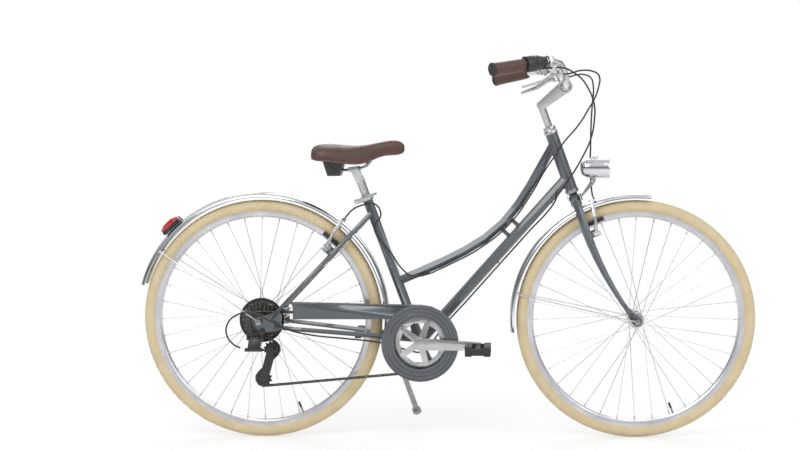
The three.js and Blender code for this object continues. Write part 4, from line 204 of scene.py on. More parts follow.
def finish(name, color, second=None, rough=(0.3, 0.4), metallic=0.0, coat=0.0, scale=20.0, grain=900.0,
           bump=0.05, worn=None, wear=0.0, transmission=0.0, ior=1.5, specular=0.5):
    """A material of two colours and a range of roughness, with bump grain and, if asked for, worn edges."""
    material = bpy.data.materials.new(name)
    material.use_nodes = True
    tree = material.node_tree
    shader = tree.nodes["Principled BSDF"]
    other = second or [channel * 0.9 for channel in color]
    patina = add_node(tree, "ShaderNodeGroup", {
        "Scale": scale, "Grain": grain, "Low": rough[0], "High": rough[1],
        "Color A": (*color, 1), "Color B": (*other, 1)}, node_tree=PATINA)
    raised = add_node(tree, "ShaderNodeBump", {"Strength": bump, "Distance": BUMP_DISTANCE})
    connect(tree,
            (patina, "Height", raised, "Height"),
            (raised, "Normal", shader, "Normal"),
            (patina, "Roughness", shader, "Roughness"))
    if wear:
        edges = add_node(tree, "ShaderNodeGroup", {"Amount": wear}, node_tree=WEAR)
        over = add_node(tree, "ShaderNodeMix", {"B": (*worn, 1)}, data_type="RGBA")
        connect(tree,
                (edges, "Mask", over, "Factor"),
                (patina, "Color", over, "A"),
                (over, "Result", shader, "Base Color"))
    else:
        connect(tree, (patina, "Color", shader, "Base Color"))
    for key, value in (("Metallic", metallic), ("Coat Weight", coat), ("Coat Roughness", COAT_ROUGHNESS),
                       ("Transmission Weight", transmission), ("IOR", ior), ("Specular IOR Level", specular)):
        shader.inputs[key].default_value = value
    return material


paint = finish("grey_blue_paint", (0.082, 0.094, 0.106), (0.072, 0.083, 0.094), rough=(0.32, 0.4),
               metallic=0.3, coat=1.0, scale=5, grain=300, bump=0.004)
chrome = finish("bright_chrome", (0.74, 0.75, 0.76), (0.62, 0.63, 0.65), rough=(0.06, 0.14), metallic=1.0,
                scale=9, grain=90, bump=0.01)
alloy = finish("satin_alloy", (0.6, 0.605, 0.6), (0.46, 0.465, 0.46), rough=(0.24, 0.38), metallic=1.0,
               scale=28, grain=1500, bump=0.06, worn=(0.9, 0.9, 0.9), wear=0.5)
rim_alloy = finish("rim_alloy", (0.68, 0.675, 0.7), (0.56, 0.55, 0.58), rough=(0.24, 0.36), metallic=0.85,
                   scale=14, grain=1400, bump=0.04)
steel = finish("zinc_steel", (0.4, 0.405, 0.4), (0.27, 0.275, 0.27), rough=(0.26, 0.42), metallic=1.0,
               scale=60, grain=1800, bump=0.08)
dark_steel = finish("oiled_steel", (0.075, 0.07, 0.064), (0.035, 0.032, 0.029), rough=(0.28, 0.45),
                    metallic=0.9, scale=110, grain=900, bump=0.06, worn=(0.28, 0.265, 0.245), wear=0.45)
tyre_rubber = finish("cream_rubber", (0.62, 0.52, 0.335), (0.56, 0.46, 0.285), rough=(0.62, 0.8),
                     scale=26, grain=1500, bump=0.3, specular=0.3)
black_rubber = finish("black_rubber", (0.018, 0.018, 0.02), (0.03, 0.03, 0.032), rough=(0.5, 0.7),
                      scale=60, grain=2200, bump=0.25)
black_plastic = finish("black_plastic", (0.014, 0.0145, 0.016), (0.024, 0.024, 0.026), rough=(0.25, 0.42),
                       scale=45, grain=2400, bump=0.12, worn=(0.12, 0.12, 0.12), wear=0.4)
leather = finish("brown_leather", (0.094, 0.044, 0.034), (0.066, 0.031, 0.025), rough=(0.36, 0.5),
                 scale=34, grain=1300, bump=0.5, worn=(0.2, 0.09, 0.065), wear=0.5)
clear_plastic = finish("lamp_glass", (0.95, 0.97, 0.98), rough=(0.02, 0.05), transmission=1.0, ior=1.49,
                       scale=40, bump=0.02)
red_plastic = finish("red_lens", (0.5, 0.012, 0.008), (0.42, 0.008, 0.006), rough=(0.08, 0.16), coat=0.6,
                     scale=60, grain=500, bump=0.1)
stitching = finish("waxed_thread", (0.3, 0.16, 0.11), (0.22, 0.11, 0.08), rough=(0.55, 0.7),
                   scale=300, grain=2000, bump=0.4)

by_slot = {"paint": paint, "chrome": chrome, "alloy": alloy, "steel": steel, "dark_steel": dark_steel,
           "tyre": tyre_rubber, "black_rubber": black_rubber, "black_plastic": black_plastic,
           "leather": leather, "clear_plastic": clear_plastic, "red_plastic": red_plastic}


def dressed(piece, material):
    piece.data.materials.clear()
    piece.data.materials.append(material)
    return piece


for node, cad in nodes.items():
    dressed(cad, by_slot[slot_of[node]])


# Shaping
WELD = 2e-6                         # metres; points closer than this are one
TUBE_WELD = 1e-6                    # metres
FLAT = math.radians(0.6)            # facets that turn by less are one face
BEVEL_EDGES = math.radians(45)      # a casting's edges that turn by more are softened


def deselect():
    bpy.ops.object.select_all(action="DESELECT")


def choose(piece):
    deselect()
    piece.select_set(True)
    bpy.context.view_layer.objects.active = piece


def edit(piece):
    choose(piece)
    bpy.ops.object.mode_set(mode="EDIT")
    bpy.ops.mesh.select_all(action="SELECT")


def done():
    bpy.ops.object.mode_set(mode="OBJECT")


def smooth(piece, angle):
    choose(piece)
    bpy.ops.object.shade_smooth_by_angle(angle=math.radians(angle))


def apply(piece, kind, **values):
    choose(piece)
    modifier = piece.modifiers.new(kind.lower(), kind)
    for key, value in values.items():
        setattr(modifier, key, value)
    bpy.ops.object.modifier_apply(modifier=modifier.name)


def settle(piece, matrix):
    """Puts a piece's place into its mesh, so its object sits at the origin."""
    piece.data.transform(matrix)
    piece.matrix_world = Matrix.Identity(4)


def named(name):
    """The piece that an operator has just made, under its name."""
    piece = bpy.context.object
    piece.name = piece.data.name = name
    return piece


def facing(direction, spot, roll=None):
    """The matrix that turns a piece's own Z to a direction and carries it to a spot."""
    z = Vector(direction).normalized()
    x = Vector(roll) if roll is not None else (AHEAD if abs(z.x) < 0.9 else UP)
    x = (x - z * x.dot(z)).normalized()
    y = z.cross(x)
    turn = Matrix((x, y, z)).transposed().to_4x4()
    return Matrix.Translation(spot) @ turn


def turned(name, profile, spot, direction, steps=64, closed=True, sweep=360.0, roll=None):
    """A lathe piece: the profile's points are (radius, height) about the direction."""
    deselect()
    bpy.ops.mesh.primitive_plane_add(size=MM, location=(0, 0, 0))
    piece = named(name)
    bpy.ops.object.mode_set(mode="EDIT")
    bpy.ops.mesh.select_all(action="SELECT")
    bpy.ops.mesh.merge(type="CENTER")
    points = [Vector((radius, 0, height)) * MM for radius, height in profile]
    if closed:
        points.append(points[0])
    bpy.ops.transform.translate(value=points[0])
    for before, after in zip(points, points[1:]):
        bpy.ops.mesh.extrude_region_move(TRANSFORM_OT_translate={"value": after - before})
    bpy.ops.mesh.select_all(action="SELECT")
    bpy.ops.mesh.spin(steps=steps, angle=math.radians(sweep), center=(0, 0, 0), axis=(0, 0, 1))
    bpy.ops.mesh.select_all(action="SELECT")
    bpy.ops.mesh.remove_doubles(threshold=WELD)
    bpy.ops.mesh.normals_make_consistent(inside=False)
    done()
    settle(piece, facing(direction, spot, roll))
    return piece


def tube(name, points, radius, sides, straight=False, fine=8):
    """A round tube through points in metres."""
    deselect()
    bpy.ops.curve.primitive_bezier_curve_add(location=(0, 0, 0))
    curve = named(name).data
    spline = curve.splines[0]
    spline.bezier_points.add(len(points) - 2)
    for knot, point in zip(spline.bezier_points, points):
        knot.handle_left_type = knot.handle_right_type = "VECTOR" if straight else "AUTO"
        knot.co = point
        knot.radius = 1.0
    curve.bevel_depth = radius * MM
    curve.bevel_resolution = sides
    curve.resolution_u = fine
    curve.use_fill_caps = True
    bpy.ops.object.convert(target="MESH")
    piece = bpy.context.object
    edit(piece)
    bpy.ops.mesh.remove_doubles(threshold=TUBE_WELD)
    bpy.ops.mesh.normals_make_consistent(inside=False)
    done()
    return piece


def rod(name, start, end, radius, sides, chamfer=0.0):
    """A round bar between two places."""
    deselect()
    bpy.ops.mesh.primitive_cylinder_add(vertices=sides, radius=radius * MM, depth=(end - start).length)
    piece = named(name)
    if chamfer:
        apply(piece, "BEVEL", width=chamfer * MM, segments=2, limit_method="ANGLE",
              angle_limit=math.radians(50))
    settle(piece, facing(end - start, (start + end) / 2))
    return piece


def block(name, spot, size, chamfer, direction=UP, roll=None):
    """A rounded block of a size, its Z along the direction."""
    deselect()
    bpy.ops.mesh.primitive_cube_add(size=1)
    piece = named(name)
    piece.data.transform(Matrix.Diagonal((*(Vector(size) * MM), 1)))
    apply(piece, "BEVEL", width=chamfer * MM, segments=3, limit_method="NONE")
    settle(piece, facing(direction, spot, roll))
    return piece


def spun(piece, count, spot):
    """The piece and its copies, evenly round the axle line through a spot, each with its own mesh."""
    ring = [piece]
    for index in range(1, count):
        turn = Matrix.Rotation(math.tau * index / count, 4, LEFT)
        twin = bpy.data.objects.new(f"{piece.name}_{index - 1}", piece.data.copy())
        bpy.context.scene.collection.objects.link(twin)
        settle(twin, Matrix.Translation(spot) @ turn @ Matrix.Translation(-spot))
        ring.append(twin)
    return ring


def joined(name, pieces):
    deselect()
    for piece in pieces:
        piece.select_set(True)
    bpy.context.view_layer.objects.active = pieces[0]
    if len(pieces) > 1:
        bpy.ops.object.join()
    whole = bpy.context.view_layer.objects.active
    whole.name = whole.data.name = name
    return whole


def hang(piece, body, slot, *replaced):
    """Puts a piece on its body, and in place of the CAD nodes that it stands for. The slot is not used."""
    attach(piece, body)
    if replaced:
        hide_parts(*replaced)


def recast(node, angle, bevel=0.0, material=None):
    """The CAD solid's shape with its facets smoothed and its edges softened."""
    cad = nodes[node]
    piece = bpy.data.objects.new(node + "_cast", cad.data.copy())
    bpy.context.scene.collection.objects.link(piece)
    edit(piece)
    bpy.ops.mesh.remove_doubles(threshold=WELD)
    bpy.ops.mesh.dissolve_limited(angle_limit=FLAT)
    done()
    if bevel:
        apply(piece, "BEVEL", width=bevel * MM, segments=2, limit_method="ANGLE", angle_limit=BEVEL_EDGES,
              use_clamp_overlap=True)
    smooth(piece, angle)
    dressed(piece, material or by_slot[slot_of[node]])
    hang(piece, body_of[node], slot_of[node], node)
    return piece


def two_tone(piece, material, chosen):
    """Gives the faces that the test picks, by their middle in metres, a second finish."""
    piece.data.materials.append(material)
    for face in piece.data.polygons:
        if chosen(face.center):
            face.material_index = 1


# Wheels. Profiles are (radius, place along the axle).
WHEEL_STEPS = 128
TYRE_MIDDLE = 330.6                 # radius of the tyre section's own centre
TYRE_SIZE = 18.4                    # radius of the section
TYRE_HALF_TURN = 142                # degrees of the section each side of the tread's middle
TYRE_STEPS = 40
TYRE_GROOVES = (15, 16, 20, 24, 25)
GROOVE_DEPTH = 0.7
TREAD_BLOCKS = 96                   # each side
TREAD_BLOCK = (3.2, 7.5, 1.6)
TREAD_RADIUS = 346.6
TREAD_OFFSET = 8.6                  # from the wheel's middle
TREAD_LEAN = 0.42
VALVE_ANGLE = 292
VALVE = (300, 272)                  # from the rim in to the valve's end
VALVE_CAP = (284, 266.5)
VALVE_RADIUS, CAP_RADIUS = 2.9, 3.4
HOLE_STEP = 20                      # degrees between a flange's 18 holes
SPOKE_REACH = 60                    # degrees from a spoke's hole to its place in the rim
SPOKE_END = 299.5                   # radius of the rim's inner face
NIPPLE = 12                         # length of the nut at a spoke's end
SPOKE_SETS = 9                      # each with two spokes on either flange
SPOKE_RADIUS = 1.0
HOLE_IN = 3                         # a hole's distance from its flange's edge
SPOKE_OUT = 2.1                     # a spoke's distance from its flange's middle, inside or outside
RIM_STAGGER = 2.2                   # a nipple's distance from the rim's middle
HEAD_RADIUS, NIPPLE_RADIUS = 1.9, 2.0
HEAD_OUT, HEAD_LEFT = 1.6, 0.4      # a spoke head's ends from the spoke

RIM_PROFILE = [(321, 12.5), (321.4, 11.6), (320.6, 10.6), (315, 10.2), (313, 8), (312.4, 0), (313, -8),
               (315, -10.2), (320.6, -10.6), (321.4, -11.6), (321, -12.5), (317, -12.4), (309, -12.1),
               (304, -11.4), (300.6, -8.5), (299.2, -4), (299, 0), (299.2, 4), (300.6, 8.5), (304, 11.4),
               (309, 12.1), (317, 12.4)]
FRONT_HUB = [(0, -46), (5, -46), (8, -45.6), (13.5, -44), (14.5, -41), (14.5, -38), (13, -37), (13, -34.2),
             (21, -33.4), (22, -32.4), (22, -29.6), (21, -28.6), (14.5, -27.6), (12.6, -22), (12, -12),
             (12, 12), (12.6, 22), (14.5, 27.6), (21, 28.6), (22, 29.6), (22, 32.4), (21, 33.4), (13, 34.2),
             (13, 37), (14.5, 38), (14.5, 41), (13.5, 44), (8, 45.6), (5, 46), (0, 46)]
REAR_HUB = [(0, -28), (16, -28), (16.4, -24), (24, -23), (25, -22), (25, -18.4), (24, -17.4), (18.5, -16.4),
            (17, -10), (16.4, 6), (17, 26), (18.5, 32.4), (24, 33.4), (25, 34.6), (25, 37.6), (24, 38.6),
            (16, 39.6), (16, 42), (14, 45.4), (8, 46), (0, 46)]
# The flanges of each hub: (place along the axle, radius)
FRONT_FLANGES = [(-31, 22), (31, 22)]
REAR_FLANGES = [(-20, 25), (36, 25)]


def tyre(name, axle, body, node):
    section = []
    for step in range(TYRE_STEPS + 1):
        angle = math.radians(-TYRE_HALF_TURN + 2 * TYRE_HALF_TURN * step / TYRE_STEPS)
        grooved = GROOVE_DEPTH if step in TYRE_GROOVES else 0.0
        section.append((TYRE_MIDDLE + (TYRE_SIZE - grooved) * math.cos(angle), TYRE_SIZE * math.sin(angle)))
    piece = turned(name, section, axle, LEFT, steps=WHEEL_STEPS)
    smooth(piece, 50)
    hang(dressed(piece, tyre_rubber), body, "tyre", node)


def tread(name, axle, body):
    """Small slanted blocks each side of the middle of the tread."""
    pieces = []
    for side in (-1, 1):
        out = heading(2 * side)
        spot = axle + out * TREAD_RADIUS * MM + LEFT * TREAD_OFFSET * side * MM
        first = block(name, spot, TREAD_BLOCK, 0.4, out + LEFT * TREAD_LEAN * side,
                      roll=Vector((0.5, 1.0 * side, 0.2)))
        pieces += spun(first, TREAD_BLOCKS, axle)
    hang(dressed(joined(name, pieces), tyre_rubber), body, "tyre")


def rim(name, axle, body, node):
    hoop = turned(name, RIM_PROFILE, axle, LEFT, steps=WHEEL_STEPS)
    way = heading(VALVE_ANGLE)
    valve = rod("valve", *[axle + way * reach * MM for reach in VALVE], VALVE_RADIUS, 16, 0.5)
    cap = rod("cap", *[axle + way * reach * MM for reach in VALVE_CAP], CAP_RADIUS, 12, 0.6)
    smooth(hoop, 32)
    dressed(hoop, rim_alloy)
    dressed(valve, steel)
    dressed(cap, black_plastic)
    hang(joined(name, [hoop, valve, cap]), body, "chrome", node)


def hub(name, axle, body, node, profile, flanges):
    """The hub with its laced spokes: each flange has 18, and each crosses three others."""
    shell = dressed(turned(name, profile, axle, LEFT, steps=48), alloy)
    smooth(shell, 30)
    laced = []
    for index, (flange, radius) in enumerate(flanges):
        side = 1 if flange > 0 else -1
        for pair, lean, face in ((0, 1, -1), (1, -1, 1)):
            root = HOLE_STEP * pair + HOLE_STEP / 2 * index
            low = axle + heading(root) * (radius - HOLE_IN) * MM + LEFT * (flange + SPOKE_OUT * face) * MM
            rim_way = heading(root + SPOKE_REACH * lean)
            high = axle + rim_way * SPOKE_END * MM + LEFT * RIM_STAGGER * side * MM
            way = (high - low).normalized()
            wire = rod("spoke", low, high, SPOKE_RADIUS, 8)
            head = rod("head", low - LEFT * HEAD_OUT * face * MM, low + LEFT * HEAD_LEFT * MM, HEAD_RADIUS, 8)
            nipple = rod("nipple", high - way * NIPPLE * MM, high, NIPPLE_RADIUS, 8, 0.4)
            laced.append(joined("lace", [wire, head, nipple]))
    lace = joined("lace", laced)
    smooth(lace, 50)
    dressed(lace, chrome)
    hang(joined(name, [shell] + spun(lace, SPOKE_SETS, axle)), body, "chrome", node)


for end, axle, profile, flanges in (("front", FRONT_AXLE, FRONT_HUB, FRONT_FLANGES),
                                    ("rear", REAR_AXLE, REAR_HUB, REAR_FLANGES)):
    body = end + "_wheel"
    tyre(end + "_tyre_rubber", axle, body, end + "_tyre")
    tread(end + "_tread", axle, body)
    rim(end + "_rim_hoop", axle, body, end + "_rim")
    hub(end + "_laced_hub", axle, body, end + "_hub_and_spokes", profile, flanges)


# Mudguards. The section is (depth under the guard's outer radius, place across it).
GUARD_SECTION = [(14.6, -22.6), (12.6, -22.9), (8.4, -20.9), (4.2, -17), (2.4, -12.6), (1.9, -9), (2.6, -8),
                 (1.2, -7), (0.8, -3.6), (0.8, 3.6), (1.2, 7), (2.6, 8), (1.9, 9), (2.4, 12.6), (4.2, 17),
                 (8.4, 20.9), (12.6, 22.9), (14.6, 22.6)]
GUARD_SHEET = 0.9
DROPOUT = 5                         # thickness of the plate that holds the axle
EYE_GAP = 0.3
EYE_HALF = 2                        # half a stay eye's room along the axle
STAY_RADIUS = 1.8
STAY_BENDS = (6, 22, 46)            # places along a stay, from the axle
STAY_IN, STAY_ACROSS = 14, 22.4     # its end, under the guard's outer radius and from the guard's middle
STAY_EYE = [(5.2, -1.9), (7, -1.9), (7, 1.9), (5.2, 1.9)]
FOOT_RADIUS = 3.6


def mudguard(name, body, node, axle, radius, front, back, stay_angle, spacing, extra=()):
    """A chromed guard from one angle to another, with a stay to each end of the axle."""
    section = [(radius - depth, across) for depth, across in GUARD_SECTION]
    skin = turned(name, section, axle, LEFT, steps=96, closed=False, sweep=back - front, roll=heading(front))
    apply(skin, "SOLIDIFY", thickness=GUARD_SHEET * MM, offset=0)
    smooth(skin, 40)
    pieces = [skin]
    out = heading(stay_angle)
    for side in (-1, 1):
        centre = axle + LEFT * (side * (spacing / 2 + DROPOUT + EYE_GAP + EYE_HALF)) * MM
        edge = axle + out * (radius - STAY_IN) * MM + LEFT * side * STAY_ACROSS * MM
        bends = [centre + out * reach * MM for reach in STAY_BENDS]
        wire = tube("wire", bends + [centre.lerp(edge, 0.5), edge], STAY_RADIUS, sides=3, straight=True)
        eye = turned("eye", STAY_EYE, centre, LEFT, steps=24)
        foot = rod("foot", edge - LEFT * side * 3 * MM, edge + LEFT * side * 1.4 * MM, FOOT_RADIUS, 12, 0.6)
        pieces += [wire, eye, foot]
    for piece in pieces[1:]:
        smooth(piece, 50)
    pieces += extra
    for piece in pieces:
        dressed(piece, chrome)
    hang(joined(name, pieces), body, "chrome", node)


fork_tab = block("tab", on_steering(399, -19), (16, 2, 18), 0.5, STEERING_UP, roll=LEFT)
mudguard("front_guard_chrome", "steering", "front_mudguard", FRONT_AXLE, radius=369, front=83.5, back=186,
         stay_angle=167.7, spacing=100, extra=[fork_tab])
mudguard("rear_guard_chrome", "frame", "rear_mudguard", REAR_AXLE, radius=371, front=-7, back=163.8,
         stay_angle=146, spacing=130)


# Saddle: a crowned pad in leather with a welt round its lower edge.
# Each rib is (reach, half width, top, skirt).
# Each point of ROUND is (share of the half width, share of the height over the skirt).
SADDLE = [(150, 46, 844, 822), (157, 72, 855, 815), (175, 86, 860, 812), (200, 89, 861, 811),
          (225, 85, 859.5, 808), (250, 72, 856.5, 804), (275, 54, 855, 801), (300, 40, 857, 803),
          (325, 30, 861, 815), (350, 25, 866.5, 826), (378, 23, 871.5, 828), (400, 21, 871, 829),
          (412, 16, 864, 834), (417, 8, 856, 842)]
ROUND = [(0.0, 1.0), (0.26, 0.985), (0.5, 0.94), (0.7, 0.86), (0.86, 0.72), (0.95, 0.52), (0.99, 0.3),
         (0.985, 0.12), (0.93, 0.0), (0.84, -0.03), (0.6, 0.06), (0.3, 0.12), (0.0, 0.13)]
WELT_OUT, WELT_UP = 0.955, 0.06     # the welt's place on a rib, in the same shares


def saddle():
    mesh = bmesh.new()
    loop = ROUND + [(-across, height) for across, height in reversed(ROUND[1:-1])]
    rings = []
    for reach, half, top, skirt in SADDLE:
        rings.append([mesh.verts.new(at(reach, across * half, skirt + (top - skirt) * height))
                      for across, height in loop])
    for before, after in zip(rings, rings[1:]):
        for index in range(len(before)):
            follow = (index + 1) % len(before)
            mesh.faces.new((before[index], before[follow], after[follow], after[index]))
    mesh.faces.new(rings[0])
    mesh.faces.new(list(reversed(rings[-1])))
    bmesh.ops.recalc_face_normals(mesh, faces=mesh.faces)
    data = bpy.data.meshes.new("saddle_pad")
    mesh.to_mesh(data)
    mesh.free()
    piece = bpy.data.objects.new("saddle_pad", data)
    bpy.context.scene.collection.objects.link(piece)
    apply(piece, "SUBSURF", levels=2, render_levels=2)
    smooth(piece, 80)
    hang(dressed(piece, leather), "seat", "leather", "saddle_cover")
    for side, name in ((-1, "right"), (1, "left")):
        welt = [at(reach, side * half * WELT_OUT, skirt + (top - skirt) * WELT_UP)
                for reach, half, top, skirt in SADDLE[1:-1]]
        thread = tube(f"saddle_welt_{name}", welt, 0.8, sides=3)
        smooth(thread, 60)
        hang(dressed(thread, stitching), "seat", "leather")


saddle()


# Grips, each a ribbed sleeve with a black end cap and a seam
GRIP_RISE = math.radians(9)         # from a grip's end the bar rises by this angle
GRIP_SWEEP = math.radians(33.4)     # and turns in by this one
GRIP_RIB = 6
GRIP_ENDS = 16                      # length without ribs
FIRST_RIB = 9                       # from the bar's end
SEAM_START, STITCH = 10, 8          # from the bar's end, and from stitch to stitch
SEAM_DROP = 16.9                    # under the bar's middle
END_CAP = [(0, -0.9), (13, -0.7), (17.2, 0.9), (18.4, 3.0), (18.4, 6.6), (17, 7.6), (0, 7.6)]


def grip(name, side, length, node):
    end = at(673.9, side * 300, 1056.97)
    way = Vector((math.cos(GRIP_RISE) * math.cos(GRIP_SWEEP),
                  -side * math.cos(GRIP_RISE) * math.sin(GRIP_SWEEP), math.sin(GRIP_RISE)))
    profile = [(11.4, 7), (16.4, 7), (17, 8.2)]
    ribs = int((length - GRIP_ENDS) / GRIP_RIB)
    for index in range(ribs):
        place = FIRST_RIB + index * (length - GRIP_ENDS) / ribs
        profile += [(16.9, place + 1.4), (17, place + 3.2), (16.7, place + 5.0)]
    profile += [(16.4, length - 4), (15.6, length - 2), (11.4, length - 2)]
    sleeve = turned(name, profile, end, way, steps=48)
    smooth(sleeve, 60)
    cap = turned("cap", END_CAP, end, way, steps=48)
    smooth(cap, 35)
    stitches = [end + way * place * MM + Vector((0, 0, -SEAM_DROP)) * MM
                for place in range(SEAM_START, int(length) - 4, STITCH)]
    seam = tube("seam", stitches, 0.7, sides=2)
    dressed(sleeve, leather)
    dressed(cap, black_rubber)
    dressed(seam, stitching)
    hang(joined(name, [sleeve, cap, seam]), "steering", "leather", node)


grip("right_grip_leather", -1, 108, "grip_right")
grip("left_grip_leather", 1, 124, "grip_left")


# Headlamp
LAMP_SHELL = [(0, 0), (8, 0.2), (14, 1.2), (20, 4.6), (24.6, 10), (27.6, 18), (29, 28), (29.4, 40),
              (29.4, 74), (30, 76), (30, 83), (29.4, 84), (28.2, 84), (28, 78), (24, 68), (15, 60),
              (6, 57.4), (0, 57.4)]
LAMP_GLASS = [(0, 86), (8, 85.9), (16, 85.4), (22, 84.6), (27.6, 83.4), (27.6, 81), (0, 81)]
LAMP_KNOB = [(0, 0), (8, 0), (8, 5), (7, 8), (5, 9.6), (0, 10)]


def headlamp():
    rear = at(926, 0, 790)
    shell = turned("headlamp_shell", LAMP_SHELL, rear, AHEAD, closed=False)
    smooth(shell, 34)
    lug = block("lug", at(965, 0, 757), (14, 8, 16), 2)
    knob = turned("knob", LAMP_KNOB, at(969, 0, 815.5), UP, steps=24)
    smooth(knob, 30)
    smooth(lug, 50)
    for piece in (shell, lug, knob):
        dressed(piece, chrome)
    hang(joined("headlamp_shell", [shell, lug, knob]), "headlamp", "chrome", "headlamp_body")
    lens = turned("headlamp_glass", LAMP_GLASS, rear, AHEAD, closed=False)
    smooth(lens, 34)
    hang(dressed(lens, clear_plastic), "headlamp", "clear_plastic", "headlamp_lens")


headlamp()


# Bell: a domed cap on a post, held to the bar by a band
BELL_DOME = [(33.2, 0), (34, 0.4), (34, 2), (33, 7), (30.4, 13), (25, 18.4), (17, 22.6), (8, 24.2), (0, 24.5),
             (0, 23.2), (8, 22.8), (16.4, 21), (24, 17), (29, 12), (31.4, 6.6), (32.4, 1)]
BELL_NUT = [(0, 23), (5, 23), (5, 24.3), (3.4, 24.9), (0, 25)]
BELL_BAND = [(11.4, -6), (15.6, -6), (16.4, -5), (16.4, 5), (15.6, 6), (11.4, 6)]
BELL_BAR = Vector((0.82457, -0.543703, 0.156434))       # the bar's direction under the bell
POST_START, POST_END = 0.014, 0.0235                    # metres above the bar's middle and the dome's foot
POST_RADIUS = 3.6


def bell():
    seat, top = at(812.43, 208.66, 1083.25), at(812.43, 208.66, 1107.25)
    dome = turned("bell_dome", BELL_DOME, top, UP)
    smooth(dome, 40)
    nut = turned("nut", BELL_NUT, top, UP, steps=16)
    post = rod("post", seat + Vector((0, 0, POST_START)), top + Vector((0, 0, POST_END)), POST_RADIUS, 16)
    smooth(post, 40)
    band = turned("band", BELL_BAND, seat, BELL_BAR, steps=40)
    smooth(band, 35)
    for piece in (dome, post, band, nut):
        dressed(piece, chrome)
    hang(joined("bell_dome", [dome, post, band, nut]), "steering", "chrome", "bell")


bell()


# Chain guard: a pressed ring with raised beads in front of the chainring, and two beads along the arms
GUARD_RING = [(75.2, 60), (75.2, 63.8), (76.4, 64.4), (78.4, 64.4), (80, 63.5), (85, 63.2), (86.4, 64.1),
              (88, 64.1), (89.4, 63), (97.4, 62.8), (98.8, 63.8), (100.4, 63.8), (101.8, 63.0), (107, 63.3),
              (109.2, 64.2), (111.2, 63.9), (112, 62.8), (112, 60)]


def guard_ring():
    ring = turned("guard_ring", GUARD_RING, CRANK_AXLE, -LEFT, steps=96)
    smooth(ring, 50)
    beads = [ring]
    for name, start, end in (("upper_bead", at(455, -61.9, 395), at(104, -61.9, 402)),
                             ("lower_bead", at(378, -61.9, 361), at(104, -61.9, 359))):
        bead = tube(name, [start, start.lerp(end, 0.5), end], 1.6, sides=3, straight=True)
        smooth(bead, 60)
        beads.append(bead)
    hang(dressed(joined("guard_ring_pressing", beads), paint), "frame", "paint")


guard_ring()


# Sprockets on the rear hub, each with its own count of teeth, and the disc that keeps the chain off
# the spokes
CHAIN_PITCH = 12.7
TEETH = (14, 16, 18, 21, 24, 28)
SMALLEST_AT = -58.5                 # place of the smallest sprocket along the axle
SPROCKET_STEP = 5.5
TOOTH = [(0, -0.9), (3.4, -0.9), (2.9, 3.6), (1.4, 5.8), (0, 6)]
TOOTH_THICKNESS = 0.3               # share of its width
TOOTH_ROOT, TOOTH_FOOT = 3.6, 4.2   # the plate's edge and a tooth's foot, inside the pitch circle
SPACER = [(17, 1), (23, 1), (23, 4.5), (17, 4.5)]
PROTECTOR_AT = 27.9                 # to the right of the wheel's middle
PROTECTOR = [(25, -0.8), (61, -0.8), (62.4, -1.9), (65, -1.9), (65, 0.8), (25, 0.8)]
PROTECTOR_HOLES = 12
HOLE_CIRCLE = 46
HOLE_RADIUS = 8.2


def sprockets():
    pieces = []
    for place, teeth in enumerate(TEETH):
        radius = CHAIN_PITCH / (2 * math.sin(math.pi / teeth))
        spot = REAR_AXLE + LEFT * (SMALLEST_AT + place * SPROCKET_STEP) * MM
        root = radius - TOOTH_ROOT
        plate = turned("plate", [(17, -1), (root, -1), (root, 1), (17, 1)], spot, LEFT, steps=teeth * 2)
        tooth = turned("tooth", TOOTH, REAR_AXLE, UP, steps=6)
        tooth.data.transform(Matrix.Translation(-REAR_AXLE))
        tooth.data.transform(Matrix.Diagonal((1, TOOTH_THICKNESS, 1, 1)))
        tooth.data.transform(Matrix.Translation(spot + Vector((0, 0, radius - TOOTH_FOOT)) * MM))
        ring = joined("teeth", spun(tooth, teeth, spot))
        pieces += [plate, ring]
        if place < len(TEETH) - 1:
            pieces.append(turned("spacer", SPACER, spot, LEFT, steps=32))
    for piece in pieces:
        smooth(piece, 30)
        dressed(piece, dark_steel)
    hang(joined("sprocket_stack", pieces), "freewheel", "dark_steel", "freewheel")


def protector():
    spot = REAR_AXLE - LEFT * PROTECTOR_AT * MM
    disc = turned("protector_disc", PROTECTOR, spot, LEFT, steps=96)
    hole = rod("hole", spot + Vector((HOLE_CIRCLE, 6, 0)) * MM, spot + Vector((HOLE_CIRCLE, -6, 0)) * MM,
               HOLE_RADIUS, 24)
    holes = joined("holes", spun(hole, PROTECTOR_HOLES, spot))
    apply(disc, "BOOLEAN", operation="DIFFERENCE", object=holes, solver="EXACT")
    bpy.data.objects.remove(holes)
    smooth(disc, 30)
    hang(dressed(disc, black_plastic), "rear_wheel", "black_plastic", "spoke_protector")


sprockets()
protector()


# The rest of the solids, with their facets smoothed and their edges softened
EDGE = 0.4
CREASE = 44                         # degrees
PAD_RADIUS, PAD_HALF = 0.311, 0.0065        # metres: a brake pad's middle from the axle, and its half height
PAD_INNER, PAD_OUTER = 0.0132, 0.0236       # metres from the wheel's middle
BLOCK_FRONT = at(232.5, 0, 0).x             # metres: where the suspension block's front is at its foot
BLOCK_FOOT = 0.768                          # metres
BLOCK_SLANT = 0.2424                        # the front moves ahead by this share of the height

BODY_PARTS = ("stem", "handlebar", "seat_post", "headset_upper_cup", "headset_locknut", "crank_left",
              "crank_right", "seat_clamp", "seat_clamp_lever", "brake_bracket_right", "brake_bracket_left",
              "brake_lever_right", "brake_lever_left", "shifter_grip", "shifter_housing", "tail_lamp_body",
              "tail_lamp_lens", "bell_lever", "front_axle", "rear_axle", "pedal_right", "pedal_left",
              "upper_pulley", "lower_pulley", "bottom_bracket_cartridge")
STEEL_PARTS = ("headset_lower_cup", "headlamp_bracket", "side_stand")
PLASTIC_PARTS = ("derailleur_bracket", "derailleur_link", "derailleur_knuckle", "derailleur_cage")


